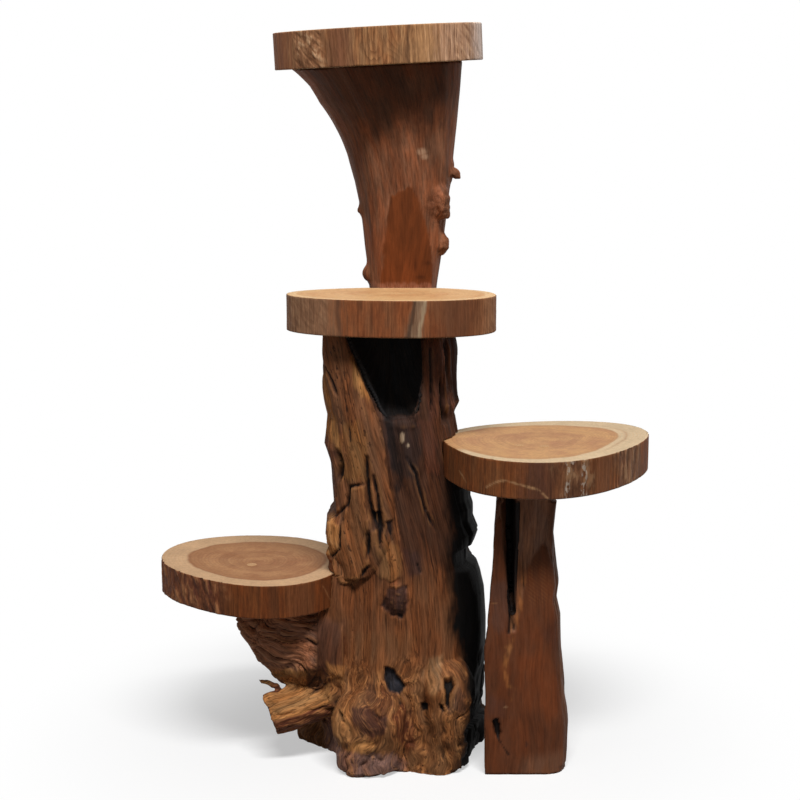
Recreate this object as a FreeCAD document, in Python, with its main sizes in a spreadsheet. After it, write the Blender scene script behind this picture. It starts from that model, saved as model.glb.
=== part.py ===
"""Display shelf made from a tree stump, two posts and four cross-cut log slabs.

Millimetres, +Z up, +X to the right and -Y towards the viewer. The origin is on the floor,
in the middle of the stump's sawn foot.
"""

import FreeCAD, Part
import math
import os
import Sketcher

# Driving sizes, in millimetres, and in degrees where the name ends in deg
SIZES = {
    # Stump: its sawn top carries the middle slab and the upper post
    "stump_height": 630,
    "stump_half_width": 98,
    "stump_half_depth": 112,
    "stump_lean": 15,
    "stump_set_back": 14,
    "root_rise": 150,
    "front_left_root_reach": 46,
    "front_right_root_reach": 40,
    "right_root_reach": 26,
    "back_right_root_reach": 46,
    "back_left_root_reach": 50,
    "left_root_reach": 44,
    "left_cleft_depth": 32,
    "front_cleft_depth": 14,
    # Raised forms on the stump: a split plank on the left of its front, a shoulder where the bracket leaves,
    # a knot, and two broken roots at the foot
    "plank_length": 348,
    "plank_half_width": 46,
    "plank_half_thick": 20,
    "plank_turn_deg": 22,
    "shoulder_radius": 30,
    "knot_radius": 20,
    "left_boss_height": 116,
    "left_boss_half_width": 50,
    "left_boss_half_depth": 44,
    "right_boss_height": 156,
    "right_boss_half_width": 34,
    "right_boss_half_depth": 40,
    # Root bracket on the left of the stump, under the left slab
    "bracket_reach": 141,
    "bracket_half_depth": 66,
    "bracket_drop": 118,
    "bracket_set_forward": 28,
    # Broken root prong below the bracket
    "prong_length": 118,
    "prong_radius": 33,
    "prong_start_x": 78,
    "prong_start_y": 58,
    "prong_start_height": 104,
    "prong_yaw_deg": 12,
    "prong_dip_deg": 17,
    # Weathered hollow in the stump, open to the front under the middle slab
    "hollow_depth": 128,
    "hollow_half_width": 54,
    "hollow_half_depth": 56,
    "hollow_shift": 20,
    "hollow_set_forward": 84,
    # Middle slab
    "middle_slab_half_width": 148,
    "middle_slab_half_depth": 95,
    "middle_slab_thick": 51,
    "middle_slab_shift": 13,
    # Upper post: flares to the top, with its front sawn flat where the slab meets it
    "upper_post_height": 370,
    "upper_post_half_width": 50,
    "upper_post_half_depth": 52,
    "upper_post_set_back": 66,
    "upper_post_sway": 32,
    "lap_face_y": 36,
    "lap_depth": 12,
    "facet_height": 146,
    "facet_lean_deg": 11.5,
    "twig_radius": 8,
    "burl_radius": 14,
    "knuckle_radius": 11,
    "heel_radius": 12,
    "thorn_radius": 7,
    # Top slab, which sits a little out of level
    "top_slab_half_width": 149,
    "top_slab_half_depth": 128,
    "top_slab_thick": 51.5,
    "top_slab_shift": 30,
    "top_slab_set_back": 46,
    "top_slab_tip_deg": 2.6,
    "top_slab_roll_deg": 2.9,
    # Right post: a short log with sawn front and left faces
    "right_post_height": 424,
    "right_post_half_width": 60,
    "right_post_half_depth": 58,
    "right_post_gap": 9,
    "right_post_front": 134,
    "post_split_depth": 34,
    "post_split_half_width": 8,
    "post_split_length": 190,
    # Right slab
    "right_slab_half_width": 160,
    "right_slab_half_depth": 150,
    "right_slab_thick": 51,
    "right_slab_let_in": 38,
    "right_slab_set_forward": 70,
    # Left slab
    "left_slab_bottom": 236,
    "left_slab_half_width": 140,
    "left_slab_half_depth": 136,
    "left_slab_thick": 48,
    "left_slab_let_in": 23,
    "left_slab_set_forward": 14,
    # Joinery
    "arris_radius": 1.6,
    "housing_clearance": 0.3,
    "drill_clearance": 0.15,
    "dowel_radius": 7,
    "dowel_sunk": 34,
    "screw_length": 96,
    "screw_head_radius": 5,
    "screw_head_height": 4,
    "screw_radius": 2.6,
    "screw_point": 9,
    "plug_radius": 7,
    "plug_length": 13,
    "plug_proud": 0.4,
    "lap_screw_spread": 22,
    "lap_bore_depth": 30,
    "top_screw_circle": 54,
    "right_screw_spread": 38,
    "right_screw_set_forward": 30,
    "left_screw_reach": 118,
    "middle_dowel_reach": 76,
    "middle_dowel_set_forward": 48,
    "post_dowel_spread": 66,
    "bracket_dowel_spread": 62,
    "overrun": 40,
}

# Bearings run anticlockwise from +X. Each rim is a share of the slab's half width and half depth,
# at even bearings round the slab.
MIDDLE_RIM_SHARES = (0.99, 0.99, 0.98, 1.0, 0.97, 0.94, 0.96, 1.01,
                     1.0, 0.96, 0.93, 0.92, 0.95, 1.03, 1.07, 1.04)
TOP_RIM_SHARES = (1.0, 0.98, 1.01, 0.99, 1.0, 1.02, 0.99, 0.97,
                  1.0, 1.01, 0.98, 1.0, 1.01, 0.99, 1.02, 1.0)
RIGHT_RIM_SHARES = (0.87, 1.08, 1.20, 1.07, 0.95, 0.90, 0.92, 0.93,
                    0.90, 0.87, 0.96, 1.01, 0.98, 0.86, 0.78, 0.78)
LEFT_RIM_SHARES = (1.0, 0.98, 0.99, 1.0, 1.0, 1.05, 1.11, 1.07,
                   0.98, 0.88, 0.82, 0.85, 0.96, 1.05, 1.04, 0.98)

# Stump sections: height, half width, half depth, and shares of the lean and the set back
STUMP_SECTION_SHARES = (
    (0.0, 1.17, 1.04, 0.35, 0.30),
    (0.07, 1.16, 1.04, 0.30, 0.35),
    (0.14, 1.14, 1.03, 0.20, 0.40),
    (0.22, 1.13, 1.02, -0.10, 0.45),
    (0.33, 1.09, 1.00, -0.45, 0.55),
    (0.46, 1.05, 0.99, -0.30, 0.70),
    (0.60, 1.01, 0.98, 0.10, 0.85),
    (0.74, 0.99, 0.98, 0.75, 0.95),
    (0.88, 1.00, 0.99, 0.95, 1.00),
    (1.0, 0.99, 0.99, 1.0, 1.0),
)
# Plates and flutes round the stump, as shares of its radius at even bearings
FLUTE_SHARES = (1.05, 0.97, 0.95, 1.04, 1.0, 0.94, 1.05, 1.03, 0.94, 0.99, 1.06, 0.95,
                1.0, 0.97, 1.03, 1.02, 1.03, 1.0, 0.95, 1.0, 1.04, 0.94, 1.03, 0.97)
FLUTE_TURN_SHARE = 1.2      # flute steps that the grain turns through from foot to top
STUMP_ROUND_SHARE = 1 / 3   # 0.5 is an ellipse, less is squarer
# Roots that swell out and clefts that cut in: the size that holds the reach or depth, the way out or in,
# the bearing, the spread, and the rise as a share
STUMP_ROOT_SHARES = (
    ("front_left_root_reach", 1, 249, 19, 1.0),
    ("front_right_root_reach", 1, 296, 17, 1.05),
    ("right_root_reach", 1, 12, 22, 1.4),
    ("back_right_root_reach", 1, 62, 20, 0.95),
    ("back_left_root_reach", 1, 118, 20, 1.1),
    ("left_root_reach", 1, 180, 15, 0.62),
    ("left_cleft_depth", -1, 218, 16, 0.75),
    ("front_cleft_depth", -1, 273, 10, 0.9),
)
SMALLEST_SWELL_SHARE = 0.001    # a root swells nothing where its share is less
# Plank sections: shares of the way down, the half width, the half thickness and the turn, and its middle
# as shares of the stump's half width and half depth
PLANK_SECTION_SHARES = (
    (0.0, 0.55, 1.0, 1.65, -0.84, -0.59),
    (0.26, 0.82, 1.0, 1.30, -0.735, -0.66),
    (0.54, 0.97, 1.0, 1.0, -0.60, -0.715),
    (0.77, 0.94, 0.95, 0.80, -0.54, -0.73),
    (1.0, 0.55, 0.80, 1.0, -0.65, -0.75),
)
PLANK_RIM_SHARES = (1.0, 1.02, 0.95, 1.03, 0.98, 0.96, 1.0, 1.02, 0.97, 1.03, 0.96, 0.99)
PLANK_ROUND_SHARE = 0.3
# Shoulder and knot: the size that holds the radius, the radius shares along X, Y and Z, and the middle as
# shares of the stump's half width, half depth and height
STUMP_KNOB_SHARES = (
    ("shoulder", "shoulder_radius", (1.07, 1.2, 3.2), -0.88, -0.57, 0.36),
    ("knot", "knot_radius", (0.92, 0.6, 1.25), -0.04, -0.88, 0.397),
)
# Broken roots at the foot: the middle as shares of the stump's half width and half depth, then the sections
# as shares of the height, of the half width and half depth, and of the way back into the stump
BOSS_SHARES = {"left": (-0.45, -0.97), "right": (0.69, -0.88)}
BOSS_SECTION_SHARES = ((0.04, 0.92, 0.0), (0.45, 1.05, 0.05), (0.82, 0.95, 0.0), (1.0, 0.5, -0.35))
BOSS_RIM_SHARES = (1.0, 0.93, 1.05, 0.96, 1.04, 0.94, 1.03, 0.97, 1.05, 0.93, 1.04, 0.96)
BOSS_ROUND_SHARE = 0.4
# Bracket sections: shares of the reach, of the half depth and of the drop
BRACKET_SECTION_SHARES = ((-0.12, 1.15, 1.5), (0.35, 1.05, 1.26), (0.67, 0.92, 0.96), (1.0, 0.62, 0.36))
BRACKET_RIM_SHARES = (1.0, 0.97, 1.03, 1.0, 0.98, 1.02, 1.0, 0.96, 1.0, 1.04, 0.96, 1.03)
BRACKET_BELOW_SHARE = 0.6       # how much of a section hangs below its middle
BRACKET_ROUND_SHARE = 0.4
# Prong sections: shares of the length and of the radius
PRONG_SECTION_SHARES = ((0.0, 1.25), (0.4, 1.05), (0.8, 1.02), (1.0, 0.92))
PRONG_RIM_SHARES = (1.0, 0.92, 1.05, 0.97, 1.02, 0.93, 1.04, 0.98)
# Hollow sections: shares of the depth, half width, half depth, sideways shift and way forward
HOLLOW_SECTION_SHARES = (
    (-0.04, 1.0, 1.0, 1.0, 1.0),
    (0.45, 0.72, 0.84, 0.40, 1.04),
    (0.82, 0.42, 0.56, 0.05, 1.10),
    (1.0, 0.22, 0.32, -0.05, 1.14),
)
HOLLOW_RIM_SHARES = (1.0, 0.95, 1.04, 0.98, 1.03, 0.96, 1.02, 1.0, 0.97, 1.02, 1.0, 1.03)
# Upper post sections: shares of the height, half width, half depth, sway and set back
POST_SECTION_SHARES = (
    (0.0, 1.0, 1.0, 0.10, 1.0),
    (0.14, 1.0, 0.99, 0.16, 1.02),
    (0.32, 1.16, 1.05, 0.20, 1.02),
    (0.48, 1.34, 1.13, 0.15, 1.02),
    (0.635, 1.52, 1.27, 0.02, 1.0),
    (0.79, 1.75, 1.49, -0.18, 0.95),
    (0.87, 1.96, 1.67, -0.43, 0.89),
    (0.93, 2.15, 1.78, -0.68, 0.85),
)
POST_TOP_SHARES = (2.38, 1.88, -0.97, 0.83)     # the same, under the top slab
POST_RIM_SHARES = (1.02, 0.98, 1.01, 1.0, 0.98, 1.02, 0.99, 1.01,
                   1.0, 0.98, 0.96, 0.99, 1.01, 1.02, 1.03, 1.0)
# Burls and stubs: the size that holds the radius, the height as a share, the bearing,
# and shares of the radius along X, Y and Z
POST_KNOB_SHARES = (
    ("twig", "twig_radius", 0.595, 352, (2.3, 0.9, 0.8)),
    ("burl", "burl_radius", 0.465, 326, (1.0, 0.9, 1.15)),
    ("knuckle", "knuckle_radius", 0.305, 345, (0.7, 0.9, 1.5)),
    ("heel", "heel_radius", 0.19, 188, (0.8, 1.0, 1.0)),
    ("thorn", "thorn_radius", 0.44, 186, (1.0, 0.9, 0.9)),
)
# Right post sections: the height as a share, then shares of the half width to the left face, to the
# front arris and to the round right side, and a share of the half depth to the back
RIGHT_POST_SECTION_SHARES = (
    (0.0, 1.035, 0.40, 0.97, 1.0),
    (0.12, 1.02, 0.40, 0.94, 1.0),
    (0.35, 0.97, 0.38, 0.86, 0.98),
    (0.50, 0.93, 0.37, 0.79, 0.96),
    (0.64, 0.87, 0.36, 0.735, 0.94),
    (0.78, 0.81, 0.35, 0.62, 0.92),
    (1.0, 0.71, 0.33, 0.54, 0.90),
)
# Poles of the round side, from the front arris to the back of the left face: how far each lies
# from the arris to the right side, and its share of the half depth
WANE_SHARES = ((0.75, -0.95), (1.07, -0.35), (1.02, 0.7), (0.3, 1.05), (-0.9, 1.0))
LEFT_FACE_BACK_SHARE = 0.7
# Split sections: shares of the length, half width and depth, and a sideways shift
# as a share of the half width of the post
SPLIT_SECTION_SHARES = ((-0.05, 1.0, 1.0, -0.52), (0.5, 0.8, 0.85, -0.5), (1.0, 0.25, 0.35, -0.42))
SPLIT_RIM_SHARES = (1.0, 0.95, 1.02, 0.9, 1.0, 0.95, 1.0, 0.97)

TOP_SCREW_BEARINGS_DEG = (80, 200, 320)
LEFT_SCREW_SHARE = 0.8          # the left slab takes shorter screws, because its bracket is thin
FLAT_TOLERANCE = 1e-6

doc = FreeCAD.newDocument("DisplayShelf")
sheet = doc.addObject("Spreadsheet::Sheet", "Sizes")


# Sizes and sums of sizes

def fill_sheet():
    for row, (name, number) in enumerate(SIZES.items(), 1):
        sheet.set(f"A{row}", name)
        sheet.set(f"B{row}", str(number))
        sheet.setAlias(f"B{row}", name)
    doc.recompute()


def size(name):
    return float(sheet.get(name))


def terms(formula):
    """A sum of sizes, such as "0.5 width + depth - gap", as the share of each size."""
    shares = {}
    sign, share = 1, 1
    for word in formula.split():
        if word in ("+", "-"):
            sign = 1 if word == "+" else -1
        elif word[0].isdigit():
            share = float(word)
        else:
            shares[word] = sign * share
            share = 1
    return shares


def value(shares):
    return sum(size(name) * share for name, share in shares.items())


def words(shares):
    """A sum of sizes, as an expression for the document."""
    return " + ".join(f"Sizes.{name} * ({share:.6f})" for name, share in shares.items()) or "0"


def plus(*sums):
    out = {}
    for shares in sums:
        for name, share in shares.items():
            out[name] = out.get(name, 0) + share
    return out


def times(shares, factor):
    return {name: share * factor for name, share in shares.items()}


def at(x, y, z, turn="rotation(vector(0; 0; 1); 0)"):
    """A placement, as an expression for the document."""
    return f"placement(vector({words(x)}; {words(y)}; {words(z)}); {turn})"


# Sketches and features

def new_body(name):
    body = doc.addObject("PartDesign::Body", name)
    body.Label = name
    return body


def attach(feature, body, placed, plane="XY_Plane"):
    """Sets a sketch or a primitive on one of its own body's origin planes."""
    support = [origin for origin in body.Origin.OriginFeatures if origin.Role == plane][0]
    feature.AttachmentSupport = [(support, "")]
    feature.MapMode = "FlatFace"
    feature.setExpression("AttachmentOffset", placed)


def new_sketch(body, name, placed, plane="XY_Plane"):
    sketch = body.newObject("Sketcher::SketchObject", name)
    attach(sketch, body, placed, plane)
    return sketch


def hold_point(sketch, geometry, name, x, y, end=3):
    """Ties a point of a shape, its centre unless it says otherwise, to two sums of sizes."""
    for axis, place in (("X", x), ("Y", y)):
        distance = Sketcher.Constraint("Distance" + axis, -1, 1, geometry, end, value(place))
        index = sketch.addConstraint(distance)
        sketch.renameConstraint(index, name + axis)
        sketch.setExpression(f"Constraints.{name}{axis}", words(place))


def hold_poles(sketch, spline, points, poles):
    """Ties the poles of a curve to pairs of sums of sizes."""
    handles = []
    for index, point in enumerate(points):
        handle = sketch.addGeometry(Part.Circle(point, FreeCAD.Vector(0, 0, 1), 1), True)
        sketch.addConstraint([
            Sketcher.Constraint("InternalAlignment:Sketcher::BSplineControlPoint", handle, 3, spline, index),
            Sketcher.Constraint("Weight", handle, 1.0),
        ])
        handles.append(handle)
    for index, (handle, (x, y)) in enumerate(zip(handles, poles)):
        hold_point(sketch, handle, f"pole{index}", x, y)


def closed_outline(body, name, poles, placed, plane="XY_Plane"):
    """A smooth closed curve. Each pole is a pair of sums of sizes."""
    sketch = new_sketch(body, name, placed, plane)
    points = [FreeCAD.Vector(value(x), value(y), 0) for x, y in poles]
    curve = Part.BSplineCurve()
    curve.buildFromPoles(points, True, 3)
    spline = sketch.addGeometry(curve, False)
    hold_poles(sketch, spline, points, poles)
    return sketch


def ring(half_width, half_depth, shares, round_share=0.5, centre=({}, {})):
    """Poles of a closed curve whose radius follows the shares at even bearings."""
    step = 2 * math.pi / len(shares)
    roundness = (2 + math.cos(step)) / 3    # the curve runs this far out towards its poles
    poles = []
    for index, share in enumerate(shares):
        across, along = math.cos(index * step), math.sin(index * step)
        square = (abs(across) ** (1 / round_share) + abs(along) ** (1 / round_share)) ** -round_share
        radius = square * share / roundness
        poles.append((plus(times(half_width, radius * across), centre[0]),
                      plus(times(half_depth, radius * along), centre[1])))
    return poles


def loft(body, kind, name, sections):
    feature = body.newObject("PartDesign::" + kind, name)
    feature.Profile = sections[0]
    feature.Sections = sections[1:]
    doc.recompute()
    return feature


def pocket(body, name, sketch, length, onward=False):
    """Cuts against the sketch's normal, or onward along it, and makes sure that it left new faces."""
    doc.recompute()
    faces = len(body.Shape.Faces)
    feature = body.newObject("PartDesign::Pocket", name)
    feature.Profile = sketch
    feature.setExpression("Length", words(length))
    feature.Reversed = onward
    doc.recompute()
    if len(body.Shape.Faces) <= faces:
        raise RuntimeError(f"{name} cuts nothing")


def drill(body, name, points, radius, depth, placed, onward=False, plane="XY_Plane"):
    """Round holes of one size, from a sketch of circles."""
    sketch = new_sketch(body, name + "_marks", placed, plane)
    for index, (x, y) in enumerate(points):
        circle = Part.Circle(FreeCAD.Vector(value(x), value(y), 0), FreeCAD.Vector(0, 0, 1), value(radius))
        geometry = sketch.addGeometry(circle, False)
        hold_point(sketch, geometry, f"mark{index}", x, y)
        constraint = sketch.addConstraint(Sketcher.Constraint("Radius", geometry, value(radius)))
        sketch.renameConstraint(constraint, f"radius{index}")
        sketch.setExpression(f"Constraints.radius{index}", words(radius))
    pocket(body, name, sketch, depth, onward)


def saw(body, name, length, width, height, placed):
    """Takes a box of wood off a body, as a saw cut does."""
    feature = body.newObject("PartDesign::SubtractiveBox", name)
    for side, measure in (("Length", length), ("Width", width), ("Height", height)):
        feature.setExpression(side, words(measure))
    attach(feature, body, placed)
    doc.recompute()


def knob(body, name, radius, radius_shares, placed):
    """A rounded lump of grown wood, with its radius shares along X, Y and Z."""
    feature = body.newObject("PartDesign::AdditiveEllipsoid", name)
    for side, share in zip(("Radius2", "Radius3", "Radius1"), radius_shares):
        feature.setExpression(side, words(times(radius, share)))
    attach(feature, body, placed)
    doc.recompute()


# Places that several pieces share

STUMP_TOP = terms("stump_height")
MIDDLE_TOP = terms("stump_height + middle_slab_thick")
MIDDLE_X = terms("- middle_slab_shift")
MIDDLE_Y = terms("lap_face_y + lap_depth - middle_slab_half_depth")
MIDDLE_FRAME = at(MIDDLE_X, MIDDLE_Y, STUMP_TOP)
TOP_X = terms("- top_slab_shift")
TOP_Y = terms("top_slab_set_back")
TOP_Z = terms("stump_height + upper_post_height")
TOP_TURN = ("rotation(vector(1; 0; 0); Sizes.top_slab_tip_deg)"
            " * rotation(vector(0; 1; 0); -Sizes.top_slab_roll_deg)")
TOP_FRAME = at(TOP_X, TOP_Y, TOP_Z, TOP_TURN)
RIGHT_X = terms("0.85 stump_half_width + right_slab_half_width - right_slab_let_in")
RIGHT_Y = terms("- right_slab_set_forward")
RIGHT_Z = terms("right_post_height")
RIGHT_FRAME = at(RIGHT_X, RIGHT_Y, RIGHT_Z)
LEFT_X = terms("- stump_half_width - left_slab_half_width + left_slab_let_in")
LEFT_Y = terms("- left_slab_set_forward")
LEFT_Z = terms("left_slab_bottom")
LEFT_FRAME = at(LEFT_X, LEFT_Y, LEFT_Z)
RIGHT_POST_X = {"stump_half_width": STUMP_SECTION_SHARES[0][1], "right_post_gap": 1,
                "right_post_half_width": 1}
RIGHT_POST_Y = terms("- right_post_front + right_post_half_depth")
BRACKET_X = terms("- stump_half_width")
BRACKET_Y = terms("- bracket_set_forward")

DRILLED_DOWEL = terms("dowel_radius + drill_clearance")
DRILLED_SCREW = terms("screw_radius + drill_clearance")
DRILLED_PLUG = terms("plug_radius + drill_clearance")
DOWEL_HOLE = terms("dowel_sunk + drill_clearance")
SCREW_HEAD_DEPTH = terms("plug_length - plug_proud")     # from a slab's face down to a screw's head

FOOT_X = terms("0.16 upper_post_sway")
LAP_HEAD_Y = terms("1.02 upper_post_set_back + upper_post_half_depth - lap_bore_depth")
LAP_SCREW_Z = terms("stump_height + 0.5 middle_slab_thick")
LAP_SCREWS = [(plus(FOOT_X, {"lap_screw_spread": side}), LAP_SCREW_Z) for side in (-0.5, 0.5)]
MIDDLE_DOWELS = [
    (terms("- stump_lean - middle_dowel_reach"), terms("- middle_dowel_set_forward")),
    (terms("- stump_lean + 0.97 middle_dowel_reach"), terms("- middle_dowel_set_forward")),
    (terms("- stump_lean - 0.3 middle_dowel_reach"), terms("0.1 lap_face_y")),
]
POST_DOWELS = [(plus(FOOT_X, {"post_dowel_spread": side}), terms("1.15 upper_post_set_back"))
               for side in (-0.5, 0.5)]
TOP_SCREWS = [
    ({"top_screw_circle": math.cos(math.radians(turn))}, {"top_screw_circle": math.sin(math.radians(turn))})
    for turn in TOP_SCREW_BEARINGS_DEG
]
RIGHT_SCREWS = [
    (plus(RIGHT_POST_X, terms("- 0.46 right_screw_spread")),
     plus(RIGHT_POST_Y, terms("- right_screw_set_forward"))),
    (plus(RIGHT_POST_X, terms("0.44 right_screw_spread")),
     plus(RIGHT_POST_Y, terms("- 1.2 right_screw_set_forward"))),
]
RIGHT_DOWELS = [
    (plus(RIGHT_POST_X, terms("- 0.2 right_screw_spread")),
     plus(RIGHT_POST_Y, terms("0.75 right_screw_set_forward"))),
]
LEFT_SCREWS = [
    (plus(BRACKET_X, terms("- left_screw_reach")), plus(BRACKET_Y, terms("- 0.2 bracket_half_depth"))),
]
LEFT_DOWELS = [
    (plus(BRACKET_X, terms("- 0.62 left_screw_reach")), plus(BRACKET_Y, {"bracket_dowel_spread": side}))
    for side in (-0.5, 0.5)
]


def local(points, x, y):
    """Marks in the frame of a slab whose middle is at x, y."""
    return [(plus(mark_x, times(x, -1)), plus(mark_y, times(y, -1))) for mark_x, mark_y in points]


# Slabs

def log_slab(name, half_width, half_depth, thick, shares, frame):
    """A cross-cut of a log, with its arrises eased."""
    body = new_body(name)
    rim = ring({half_width: 1}, {half_depth: 1}, shares)
    slab = body.newObject("PartDesign::Pad", name + "_cut")
    slab.Profile = closed_outline(body, name + "_rim", rim, at({}, {}, {}))
    slab.setExpression("Length", words({thick: 1}))
    doc.recompute()
    arrises = [f"Edge{index}" for index, edge in enumerate(slab.Shape.Edges, 1)
               if edge.BoundBox.ZLength < FLAT_TOLERANCE]
    eased = body.newObject("PartDesign::Fillet", name + "_arris")
    eased.Base = (slab, arrises)
    eased.setExpression("Radius", "Sizes.arris_radius")
    body.setExpression("Placement", frame)
    doc.recompute()
    return body


def screw_holes(body, name, points, thick):
    """Plug bores and screw holes down through a slab, from its top face."""
    top = at({}, {}, {thick: 1})
    bore_depth = plus(SCREW_HEAD_DEPTH, terms("screw_head_height"))
    drill(body, name + "_bores", points, DRILLED_PLUG, bore_depth, top)
    drill(body, name + "_holes", points, DRILLED_SCREW, {thick: 1}, top)


def screw_depth(thick, length_share=1):
    """How deep a slab's screw goes into what carries the slab."""
    return plus({"screw_length": length_share, thick: -1, "drill_clearance": 1}, SCREW_HEAD_DEPTH)


def make_middle_slab():
    body = log_slab("middle_slab", "middle_slab_half_width", "middle_slab_half_depth", "middle_slab_thick",
                    MIDDLE_RIM_SHARES, MIDDLE_FRAME)
    # Notch at the back, round the foot of the upper post
    notch_x = plus(FOOT_X, times(MIDDLE_X, -1), terms("- upper_post_half_width - housing_clearance"))
    notch_y = plus(terms("lap_face_y"), times(MIDDLE_Y, -1))
    saw(body, "post_notch", terms("2 upper_post_half_width + 2 housing_clearance"),
        terms("lap_depth + overrun"), terms("middle_slab_thick + 2 overrun"),
        at(notch_x, notch_y, terms("- overrun")))
    drill(body, "middle_dowel_holes", local(MIDDLE_DOWELS, MIDDLE_X, MIDDLE_Y), DRILLED_DOWEL,
          DOWEL_HOLE, at({}, {}, {}), onward=True)
    marks = local(LAP_SCREWS, MIDDLE_X, STUMP_TOP)
    drill(body, "lap_screw_holes", marks, DRILLED_SCREW, terms("screw_length + drill_clearance"),
          at({}, {}, plus(MIDDLE_Y, times(LAP_HEAD_Y, -1))), onward=True, plane="XZ_Plane")
    return body


def make_top_slab():
    body = log_slab("top_slab", "top_slab_half_width", "top_slab_half_depth", "top_slab_thick",
                    TOP_RIM_SHARES, TOP_FRAME)
    screw_holes(body, "top_screw", TOP_SCREWS, "top_slab_thick")
    return body


def make_right_slab():
    body = log_slab("right_slab", "right_slab_half_width", "right_slab_half_depth", "right_slab_thick",
                    RIGHT_RIM_SHARES, RIGHT_FRAME)
    screw_holes(body, "right_screw", local(RIGHT_SCREWS, RIGHT_X, RIGHT_Y), "right_slab_thick")
    drill(body, "right_dowel_holes", local(RIGHT_DOWELS, RIGHT_X, RIGHT_Y), DRILLED_DOWEL,
          DOWEL_HOLE, at({}, {}, {}), onward=True)
    return body


def make_left_slab():
    body = log_slab("left_slab", "left_slab_half_width", "left_slab_half_depth", "left_slab_thick",
                    LEFT_RIM_SHARES, LEFT_FRAME)
    screw_holes(body, "left_screw", local(LEFT_SCREWS, LEFT_X, LEFT_Y), "left_slab_thick")
    drill(body, "left_dowel_holes", local(LEFT_DOWELS, LEFT_X, LEFT_Y), DRILLED_DOWEL,
          DOWEL_HOLE, at({}, {}, {}), onward=True)
    return body


# Stump

def root_poles(height_share, bearing):
    """How far each root or cleft moves a section of the stump at one bearing."""
    swell = {}
    for reach, way, root_bearing, spread, rise_share in STUMP_ROOT_SHARES:
        off = (bearing - root_bearing + 180) % 360 - 180
        climb = height_share * size("stump_height") / (size("root_rise") * rise_share)
        fade = max(0, 1 - climb ** 2) ** 2
        swell[reach] = way * fade * math.exp(-(off / spread) ** 2)
    return {reach: share for reach, share in swell.items() if abs(share) > SMALLEST_SWELL_SHARE}


def stump_ring(height_share, width_share, depth_share, lean_share, back_share):
    """One section of the stump: a squarish ring with flutes that turn with the grain, and its roots."""
    count = len(FLUTE_SHARES)
    turned = FLUTE_TURN_SHARE * height_share
    first = math.floor(turned)
    part_step = turned - first
    shares = [FLUTE_SHARES[(i + first) % count] * (1 - part_step)
              + FLUTE_SHARES[(i + first + 1) % count] * part_step for i in range(count)]
    centre = ({"stump_lean": -lean_share}, {"stump_set_back": back_share})
    poles = ring({"stump_half_width": width_share}, {"stump_half_depth": depth_share}, shares,
                 STUMP_ROUND_SHARE, centre)
    for index, (x, y) in enumerate(poles):
        bearing = index * 360 / count
        swell = root_poles(height_share, bearing)
        poles[index] = (plus(x, times(swell, math.cos(math.radians(bearing)))),
                        plus(y, times(swell, math.sin(math.radians(bearing)))))
    return poles


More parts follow.
